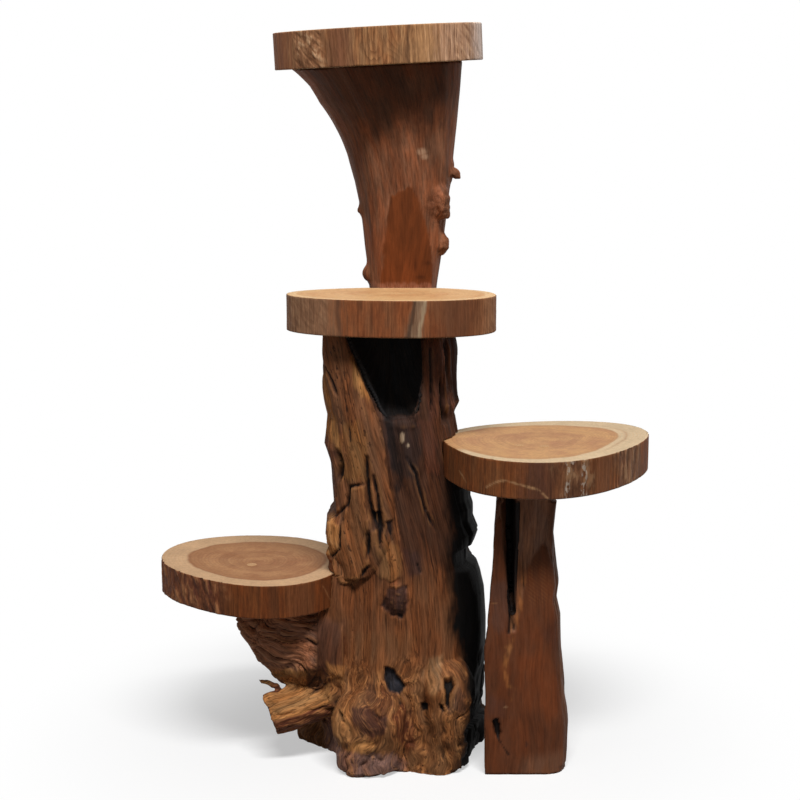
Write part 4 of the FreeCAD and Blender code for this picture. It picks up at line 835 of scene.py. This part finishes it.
def stumpFinish(look):
    f = Finish("stumpWood")
    grain, tint = f.place(), f.place("tint")
    fibre = f.noise(grain, 0.0018, 0.03, 3, 0.65)
    strand = f.noise(grain, 0.007, 0.11, 3, 0.55)
    hue = f.noise(grain, 0.014, 0.09, 2)
    dash = f.noise(grain, 0.0026, 0.010, 2)
    cavity, lively, root = f.field("cavity"), f.field("lively"), f.field("root")
    shade = 1 + (fibre * 0.65 + strand * 0.35 - 0.5) * 3.8
    wood = f.mix(1, tint, shade, "MULTIPLY")
    warm = f.mix(hue.ramp(0.3, 0.7), (0.9, 1.0, 1.12), (1.12, 0.98, 0.84))
    wood = f.mix(1, wood, warm, "MULTIPLY")
    golden = (fibre * 0.5 + strand * 0.5).ramp(0.5, 0.66) * root * look["goldRoot"]
    wood = f.mix(golden, wood, tone(*look["gold"]))
    hair = (1 - (strand - 0.5).size() * 26).ramp(0, 1) * hue.ramp(0.42, 0.6) * lively
    wood = f.mix(hair * 0.55, wood, tone(*look["crack"]))
    specks = dash.ramp(0.57, 0.66) * f.field("fleck") * strand.ramp(0.4, 0.6)
    wood = f.mix(specks * 0.75, wood, tone(*look["crack"]))
    deep = (cavity + (fibre - 0.5) * 0.8).ramp(0.5, 2.4)
    wood = f.mix(deep * 0.9, wood, tone(*look["crack"]))
    # ridges are painted golden: painted highlight
    ridge = (0 - cavity).ramp(0.25, 1.5) * lively
    wood = f.mix(ridge * 0.22, wood, tone(*look["gold"]))
    return f.done(wood, 0.72 - ridge * 0.08, fibre * 0.55 + strand * 0.35 - hair * 0.4 - specks * 0.3, 0.0013)


# Upper post

upperPost = dict(
    node="upper_post", voxel=2.3 * mm, seed=70, girth=58, facetFoot=(36, 681), facetLean=0.2035,
    lip=(691, 685), lipTone=(158, 106, 84),
    # the flat sawn on the lower front
    facetEdge=[(-30, 640), (-28, 690), (-20, 770), (-14, 814), (14, 829), (28, 808), (42, 760), (50, 700),
               (52, 640)],
    # colours
    brown=((146, 93, 65), (103, 64, 44)), line=(70, 41, 28), facet=((121, 64, 33), (98, 52, 27)),
    knotTone=(66, 34, 19), crack=(24, 15, 11), pale=(186, 148, 118),
    # across, up, half width and half height
    paleSpots=[(31, 878, 7, 5), (35, 871, 5, 4)],
    facetKnots=[(41, 718, 5, 3), (22, 714, 2.5, 10), (30, 697, 7, 3), (-16, 808, 4, 4)],
    # silhouette: height and place across
    leftEdge=[(1004, -160), (993, -155), (971, -134), (947, -119), (911, -95), (872, -77), (835, -67),
              (766, -54), (735, -50)],
    # knobs: middle and radii
    lumps=[((58, 30, 808), (15, 16, 24)), ((66, 32, 790), (9, 11, 10)), ((64, 48, 744), (9, 13, 17))],
    # painted shadow of the top slab on the upper front of the post
    stain=(40, 24, 18), stainShare=0.5, stainFrom=(892, 935),
    # middle and reach
    burls=[(60, 30, 802, 24), (66, 48, 744, 14)], twig=(72, 849), twigTip=90,
    # knobs to soften: across, up and reach
    settle=[(-56, 793, 16), (-46, 703, 34), (54, 806, 34), (60, 744, 26), (70, 849, 9), (88, 843, 7)],
    settleRounds=16, behind=200, twigThicker=2.4, twigDroop=0.45, burlRise=4.5,
    # relief: height, width across the grain and length along it
    swell=(2.2, 34, 170), ripple=(0.8, 9, 100), sawRipple=(0.25, 7, 30),
)


def sculptUpperPost():
    look, seed = upperPost, upperPost["seed"]
    mesh = evenMesh(look["node"], look["voxel"], [lump(*shape) for shape in look["lumps"]])
    p = arraysOf(mesh)[0] / mm
    n = normalsOf(mesh)
    p[:, 0] += toEdge(p, look["leftEdge"], -1, look["behind"])
    twigX, twigZ = look["twig"]
    twig = smooth(0, 5, p[:, 0] - twigX) * smooth(20, 12, np.abs(p[:, 2] - twigZ))
    p += n * (look["twigThicker"] * twig)[:, None]
    p[:, 0] = np.where(twig > 0.5, np.minimum(p[:, 0], look["twigTip"]), p[:, 0])
    p[:, 2] -= look["twigDroop"] * twig * np.maximum(p[:, 0] - twigX, 0)
    p = settled(p, mesh, look["settle"], look["settleRounds"])
    x, y, z = p.T
    cx, cy = spine(p)
    turned = np.arctan2(y - cy, x - cx) + 0.01 * gradientNoise(p / (50, 50, 200), seed)
    grain = roundGrain(look["girth"], turned, z)
    facetY = look["facetFoot"][0] - look["facetLean"] * (z - look["facetFoot"][1])
    flat = np.stack((x, z), 1)
    ragged = 3 * layered(np.stack((x / 6, y / 30, z / 22), 1), seed + 30)
    facet = (smooth(16, 6, np.abs(y - facetY)) * smooth(0.45, 0.7, -n[:, 1])
             * smooth(-2, 2, depthInside(flat, look["facetEdge"]) + ragged))
    burl = np.zeros(len(p))
    for bx, by, bz, reach in look["burls"]:
        burl = np.maximum(burl, np.exp(-(np.linalg.norm(p - (bx, by, bz), axis=1) / reach) ** 2))
    curl = layered(p / 13, seed + 9)
    ripple, _ = reliefOn(grain, seed)
    rise = ripple(look["swell"], 1) + ripple(look["ripple"], 3) + look["burlRise"] * burl * curl
    rise += facet * (ripple(look["sawRipple"], 12) - rise)
    moved = p + n * (rise * (1 - levelFaces(n)))[:, None]
    movePoints(mesh, moved * mm)

    knots, spots = np.zeros(len(p)), np.zeros(len(p))
    for knot in look["facetKnots"]:
        knots = np.maximum(knots, groove(spotAt(flat, *knot), 1) * facet)
    for spot in look["paleSpots"]:
        spots = np.maximum(spots, groove(spotAt(flat, *spot) ** 2, 1) * smooth(0.2, 0.5, -n[:, 1]))
    lip = smooth(*look["lip"], z + ragged) * smooth(0.1, 0.4, -n[:, 1])
    # painted shadow under the top slab, darkest where the post faces the front
    stain = smooth(*look["stainFrom"], z + 12 * curl) * smooth(0.25, 0.75, -n[:, 1])
    store(mesh, grain=grain * mm, cavity=cavities(mesh, 5), facet=facet, burl=burl, knots=knots, spots=spots,
          lip=lip, swirl=1.8 * curl + z / 40, stain=stain)
    addPiece("upperPost", mesh, look["node"])
    mesh.materials.append(upperPostFinish(look))
    print("upper post sculpted with", len(mesh.polygons), "faces")


def upperPostFinish(look):
    f = Finish("upperPostWood")
    grain = f.place()
    streak = f.noise(grain, 0.0026, 0.03, 4, 0.68)
    broad = f.noise(grain, 0.018, 0.09, 3)
    hue = f.noise(grain, 0.011, 0.045, 3)
    fibre = f.noise(grain, 0.0012, 0.016, 2)
    wood = f.mix(broad.ramp(0.3, 0.7), tone(*look["brown"][1]), tone(*look["brown"][0]))
    wood = f.mix(1, wood, 1 + (streak * 0.6 + fibre * 0.4 - 0.5) * 3.4, "MULTIPLY")
    warm = f.mix(hue.ramp(0.32, 0.68), (0.9, 1.02, 1.1), (1.12, 0.97, 0.84))
    wood = f.mix(1, wood, warm, "MULTIPLY")
    wood = f.mix(fibre.ramp(0.55, 0.72) * broad.ramp(0.35, 0.6) * 0.5, wood, tone(*look["line"]))
    # painted shadow of the top slab
    wood = f.mix(f.field("stain") * look["stainShare"], wood, tone(*look["stain"]))
    ringed = (f.field("swirl") * 2 + streak * 0.4).fraction().ramp(0.2, 0.9)
    wood = f.mix(f.field("burl") * ringed * 0.7, wood, tone(*look["line"]))
    wood = f.mix(f.field("spots") * streak.ramp(0.2, 0.6) * 0.75, wood, tone(*look["pale"]))
    sawn = f.mix(broad.ramp(0.35, 0.65), tone(*look["facet"][0]), tone(*look["facet"][1]))
    sawn = f.mix(1, sawn, 1 + (streak * 0.6 + fibre * 0.4 - 0.5) * 1.3, "MULTIPLY")
    sawn = f.mix(f.field("knots") * 0.8, sawn, tone(*look["knotTone"]))
    wood = f.mix(f.field("facet"), wood, sawn)
    wood = f.mix(f.field("lip") * fibre.ramp(0.3, 0.6) * 0.7, wood, tone(*look["lipTone"]))
    wood = f.mix((f.field("cavity") + (streak - 0.5) * 0.5).ramp(0.35, 1.3) * 0.8, wood, tone(*look["crack"]))
    return f.done(wood, 0.62 - f.field("facet") * 0.08, streak * 0.6 + fibre * 0.4, 0.0007)


# Right post

rightPost = dict(
    node="right_post", voxel=2.1 * mm, seed=90, girth=55, middle=180, faceY=-134, leftTuck=0.1,
    # silhouette: height and place across
    rightEdge=[(400, 220), (368, 218), (351, 218), (318, 222), (277, 228), (255, 225), (227, 231),
               (199, 232), (173, 233), (145, 236), (114, 239), (88, 243), (68, 245), (30, 245), (8, 244)],
    leftEdge=[(400, 135), (376, 134), (349, 131), (313, 129), (286, 127), (253, 125), (220, 123),
              (198, 121), (189, 119), (142, 120), (86, 120), (8, 121)],
    # outlines on the front, the first of them above the saw cut
    above=[(120, 440), (235, 440), (230, 345), (216, 338), (214, 313), (207, 336), (198, 339), (184, 321),
           (176, 300), (172, 267), (167, 245), (161, 215), (154, 212), (153, 267), (154, 305), (152, 340),
           (147, 365), (142, 375), (136, 374), (132, 370), (120, 372)],
    gap=[(149, 400), (166, 400), (165, 345), (162, 335), (158, 327), (157, 297), (157, 262), (155, 244),
         (153, 262), (152, 305), (151, 340), (147, 362)],
    gapDeep=13, seam=([(155, 252), (154, 232), (153, 212)], 1.6, 2),
    crackFoot=[(148, 400), (166, 400), (161, 270), (162, 206), (149, 206), (150, 270)],
    hole=[(132, 81), (137, 84), (142, 75), (144, 64), (140, 52), (136, 61), (133, 71)], holeDeep=9,
    trail=([(140, 55), (148, 41), (155, 30)], 1.3, 1.2),
    # pale fibres
    wisps=[[(165, 245), (162, 217), (156, 193), (151, 165), (149, 145), (152, 134), (163, 128),
            (157, 114)],
           [(176, 300), (171, 267), (167, 245), (160, 212), (153, 187), (147, 156)],
           [(161, 330), (159, 290), (160, 250), (156, 215), (150, 190)]],
    wispHalf=2.4,
    # colours
    brown=(99, 55, 33), natural=(138, 97, 75), outside=(96, 62, 44), gold=(158, 100, 56),
    crack=(18, 11, 9),
    # places on the front, colour, softness of the edge and share
    paint=[([(128, 283), (148, 289), (152, 256), (151, 220), (138, 212), (126, 228)], (92, 62, 50), 7,
            0.6),
           ([(157, 330), (176, 300), (172, 267), (167, 245), (161, 215), (154, 212), (157, 256)],
            (112, 70, 44), 3, 0.8),
           ([(196, 210), (232, 250), (232, 180), (214, 190)], (78, 46, 33), 8, 0.6),
           ([(170, 190), (214, 170), (222, 90), (176, 100)], (116, 62, 35), 14, 0.6),
           ([(126, 120), (150, 112), (146, 86), (126, 90)], (82, 52, 42), 8, 0.5),
           # lighter patch at the foot: painted reflection of the floor
           ([(175, 24), (237, 33), (239, -5), (170, -5)], (128, 86, 62), 12, 0.6),
           ([(234, 128), (250, 128), (250, -5), (235, -5), (236, 61)], (150, 106, 84), 3, 0.7)],
    # across, up, half width, half height and colour
    spots=[(150, 102, 2.5, 2, (150, 110, 80)), (132, 255, 4, 1.5, (132, 88, 58)),
           (180, 46, 2, 5, (70, 42, 32))],
    # saw marks: where, how they lean, and how far apart up the post
    sawn=[(181, 321), (210, 310), (214, 256), (177, 253), (174, 289)], sawLean=0.78, behind=200,
    halfWide=58, sawnTop=424, aboveSunk=4, sawStep=5.588,
    # relief: height, width across the grain and length along it
    swell=(2.4, 30, 140), ripple=(1.1, 9, 80), furrow=(2, 18, 150, 0.13), sawRipple=(0.5, 14, 50),
    wispBreaks=(1, 7, 22),
)


def sculptRightPost():
    look, seed, middle = rightPost, rightPost["seed"], rightPost["middle"]
    mesh = evenMesh(look["node"], look["voxel"])
    p = arraysOf(mesh)[0] / mm
    n = normalsOf(mesh)
    p[:, 0] += (toEdge(p, look["rightEdge"], 1, look["behind"], middle)
                + toEdge(p, look["leftEdge"], -1, look["behind"], middle))
    leftward = smooth(0.5, 1, (middle - p[:, 0]) / look["halfWide"])
    p[:, 0] += look["leftTuck"] * np.maximum(p[:, 1] - look["faceY"], 0) * leftward
    x, y, z = p.T
    cx, cy = spine(p)
    front = smooth(0.4, 0.8, -n[:, 1])
    flat = np.stack((x, z), 1)
    edge = 2 * layered(np.stack((x / 6, y / 40, z / 24), 1), seed + 30)
    turned = np.arctan2(y - cy, x - cx) + 0.1 * gradientNoise(p / (45, 45, 110), seed)
    around = roundGrain(look["girth"], turned, z)
    face = np.stack((x + 12 * gradientNoise(p / (60, 60, 130), seed + 2), y, z), 1)
    grain = np.where(front[:, None] > 0.5, face, around)

    ripple, furrow = reliefOn(grain, seed)
    within = patchesOn(flat, edge)
    above = within(look["above"], 3) * front
    gap = within(look["gap"], 1.6, 0.4) * front
    hole = within(look["hole"], 1.4, 0.6) * front
    cracks = [groove(pathDistance(flat, path) + 0.6 * edge, half) * front
              for path, half, _ in (look["trail"], look["seam"])]
    sawn = front * (1 - above)
    rough = 1 - sawn
    rise = rough * (ripple(look["swell"], 1) + ripple(look["ripple"], 4) - furrow(look["furrow"], 8))
    rise += sawn * ripple(look["sawRipple"], 12) - look["aboveSunk"] * above - look["gapDeep"] * gap
    rise -= look["holeDeep"] * hole + look["trail"][2] * cracks[0] + look["seam"][2] * cracks[1]
    still = levelFaces(n) * ((z < 2) | (z > look["sawnTop"] - 4))
    moved = p + n * (rise * (1 - still))[:, None]
    moved[:, 2] = np.where(z < 1.2, 0, np.clip(moved[:, 2], 0.5, look["sawnTop"]))
    movePoints(mesh, moved * mm)

    tint = np.tile(tone(*look["outside"]), (len(p), 1))
    brush(tint, front, look["brown"])
    brush(tint, above, look["natural"])
    for corners, colour, soft, share in look["paint"]:
        brush(tint, within(corners, soft) * front * share, colour)
    for wisp in look["wisps"]:
        line = groove(pathDistance(flat, wisp) + 2 * edge, look["wispHalf"]) * front
        brush(tint, line * smooth(-0.35, 0.35, ripple(look["wispBreaks"], 50)) * 0.6, look["gold"])
    for *spot, colour in look["spots"]:
        brush(tint, smooth(1.3, 0.6, spotAt(flat, *spot)) * front * 0.8, colour)
    inCrack = within(look["crackFoot"], 1.5, 0) * smooth(0.95, 0.7, -n[:, 1]) * (y < look["faceY"] + 40)
    brush(tint, np.clip(gap + hole + sum(cracks) + inCrack, 0, 1), look["crack"])
    store(mesh, grain=grain * mm, cavity=cavities(mesh, 6), tint=tint, rough=rough,
          saw=(look["sawLean"] * x + z) / look["sawStep"], sawn=within(look["sawn"], 9) * front)
    addPiece("rightPost", mesh, look["node"])
    mesh.materials.append(rightPostFinish(look))
    print("right post sculpted with", len(mesh.polygons), "faces")


def rightPostFinish(look):
    f = Finish("rightPostWood")
    grain, tint = f.place(), f.place("tint")
    streak = f.noise(grain, 0.003, 0.05, 4, 0.62)
    broad = f.noise(grain, 0.018, 0.05, 4, 0.6)
    hue = f.noise(grain, 0.014, 0.05, 3)
    fibre = f.noise(grain, 0.0011, 0.016, 2)
    rough = f.field("rough")
    shade = 1 + (streak * 0.45 + broad * 0.35 + fibre * 0.2 - 0.5) * (2.6 + rough * 1.8)
    wood = f.mix(1, tint, shade, "MULTIPLY")
    warm = f.mix(hue.ramp(0.3, 0.7), (0.92, 1.0, 1.1), (1.08, 0.99, 0.88))
    wood = f.mix(1, wood, warm, "MULTIPLY")
    toothed = (f.field("saw") + (broad - 0.5) * 0.8).fraction().ramp(0.35, 0.75)
    wood = f.mix(toothed * f.field("sawn") * streak.ramp(0.35, 0.6) * 0.16, wood, tone(*look["gold"]))
    wood = f.mix(fibre.ramp(0.6, 0.75) * 0.4, wood, tone(*look["crack"]))
    wood = f.mix((f.field("cavity") + (streak - 0.5) * 0.8).ramp(0.5, 1.9) * 0.9, wood, tone(*look["crack"]))
    return f.done(wood, 0.62, streak * 0.6 + fibre * 0.4, 0.0006)


# Fasteners keep their CAD shapes and only take a finish

plugWood = dict(light=(200, 160, 116), dark=(172, 128, 88), fine=0.0009)
dowelWood = dict(light=(206, 172, 128), dark=(176, 136, 94), fine=0.0012)
screwSteel = dict(tone=(176, 174, 168), worn=(110, 108, 104), brushed=0.0004)


def plainWood(name, look):
    f = Finish(name)
    place = f.add("ShaderNodeTexCoord", out="Object")
    fibre = f.noise(place, look["fine"], look["fine"] * 20, 3)
    wood = f.mix(fibre.ramp(0.35, 0.65), tone(*look["light"]), tone(*look["dark"]))
    return f.done(wood, 0.6, fibre, 0.0002)


def steel(name, look):
    f = Finish(name)
    place = f.add("ShaderNodeTexCoord", out="Object")
    brushed = f.noise(place, look["brushed"], look["brushed"] * 6, 3)
    normal = f.add("ShaderNodeBump", None, {"Strength": 1, "Distance": 0.00002, "Height": brushed})
    shader = f.add("ShaderNodeBsdfPrincipled", None, {
        "Base Color": f.mix(brushed * 0.3, tone(*look["tone"]), tone(*look["worn"])), "Metallic": 1,
        "Roughness": 0.28 + brushed * 0.2, "Normal": normal})
    f.add("ShaderNodeOutputMaterial", None, {"Surface": shader})
    return f.material


def finishFasteners():
    finishes = {"plug": plainWood("plugWood", plugWood), "dowel": plainWood("dowelWood", dowelWood),
                "screw": steel("screwSteel", screwSteel)}
    for name, node in nodes.items():
        kind = name.split("_")[-1].rstrip("s")
        if kind in finishes:
            node.material_slots[0].link = "OBJECT"
            node.material_slots[0].material = finishes[kind]
    print("fasteners finished")


# Stage: the camera stands where the photograph was taken from, on the -Y side

stage = dict(
    cameraPlace=(0, -2.154, 0.9006), cameraTilt=80, lens=67.5, sensor=36,
    keyPlace=(0.4, -2.2, 3.8), keySize=(2.4, 0.6), keyPower=192,
    fillPlace=(-1.9, -2.0, 1.7), fillSize=(1.4, 1.4), fillPower=4, lightAim=(0, 0, 0.5),
    skyLight=0.04, floorTone=0.97, floorBounce=0.2, floorHalf=12,
    floorLitShare=0.52, floorLitNear=0.2, floorLitFar=0.65,
)


def aim(thing, target):
    thing.rotation_euler = (Vector(target) - thing.location).to_track_quat("-Z", "Y").to_euler()


def softbox(name, place, size, power):
    lamp = bpy.data.lights.new(name, "AREA")
    lamp.shape = "RECTANGLE"
    lamp.size, lamp.size_y = size
    lamp.energy = power
    thing = bpy.data.objects.new(name, lamp)
    thing.location = place
    bpy.context.scene.collection.objects.link(thing)
    aim(thing, stage["lightAim"])


def setStage():
    scene = bpy.context.scene
    scene.view_settings.view_transform = "Standard"
    camera = bpy.data.cameras.new("camera")
    camera.lens = stage["lens"]
    camera.sensor_width = stage["sensor"]
    eye = bpy.data.objects.new("camera", camera)
    eye.location = stage["cameraPlace"]
    eye.rotation_euler = (math.radians(stage["cameraTilt"]), 0, 0)
    scene.collection.objects.link(eye)
    scene.camera = eye
    softbox("keyLight", stage["keyPlace"], stage["keySize"], stage["keyPower"])
    softbox("fillLight", stage["fillPlace"], stage["fillSize"], stage["fillPower"])

    scene.world = bpy.data.worlds.new("studio")
    f = Finish("studio", scene.world)
    dim = f.add("ShaderNodeBackground", None, {"Color": (1, 1, 1), "Strength": stage["skyLight"]})
    white = f.add("ShaderNodeBackground", None, {"Color": (1, 1, 1), "Strength": 1})
    sky = f.add("ShaderNodeMixShader", None, {0: f.shown(), 1: dim, 2: white})
    f.add("ShaderNodeOutputWorld", None, {"Surface": sky})

    half = stage["floorHalf"]
    mesh = bpy.data.meshes.new("floor")
    corners = [(-half, -half, 0), (half, -half, 0), (half, half, 0), (-half, half, 0)]
    mesh.from_pydata(corners, [], [(0, 1, 2, 3)])
    floor = bpy.data.objects.new("floor", mesh)
    scene.collection.objects.link(floor)
    mesh.materials.append(floorFinish())
    print("stage set")


def floorFinish():  # pale paper that keeps the shadow near the object and goes to plain white further off
    f = Finish("floorPaper")
    place = f.add("ShaderNodeNewGeometry", out="Position")
    far = f.add("ShaderNodeVectorMath", {"operation": "LENGTH"}, {0: place}, out="Value")
    lit = (1 - far.ramp(stage["floorLitNear"], stage["floorLitFar"])) * stage["floorLitShare"]
    bounce = f.add("ShaderNodeBsdfDiffuse", None, {"Color": (stage["floorBounce"],) * 3})
    paper = f.add("ShaderNodeBsdfDiffuse", None, {"Color": (stage["floorTone"],) * 3})
    glow = f.add("ShaderNodeEmission", None, {"Color": (1, 1, 1), "Strength": 1})
    pale = f.add("ShaderNodeMixShader", None, {0: lit, 1: glow, 2: paper})
    seen = f.add("ShaderNodeMixShader", None, {0: f.shown(), 1: bounce, 2: pale})
    f.add("ShaderNodeOutputMaterial", None, {"Surface": seen})
    return f.material


setStage()
for slabName, slabLook in (("topSlab", topSlab), ("middleSlab", middleSlab), ("rightSlab", rightSlab),
                           ("leftSlab", leftSlab)):
    crossCut(slabName, slabLook)
sculptStump()
sculptUpperPost()
sculptRightPost()
finishFasteners()
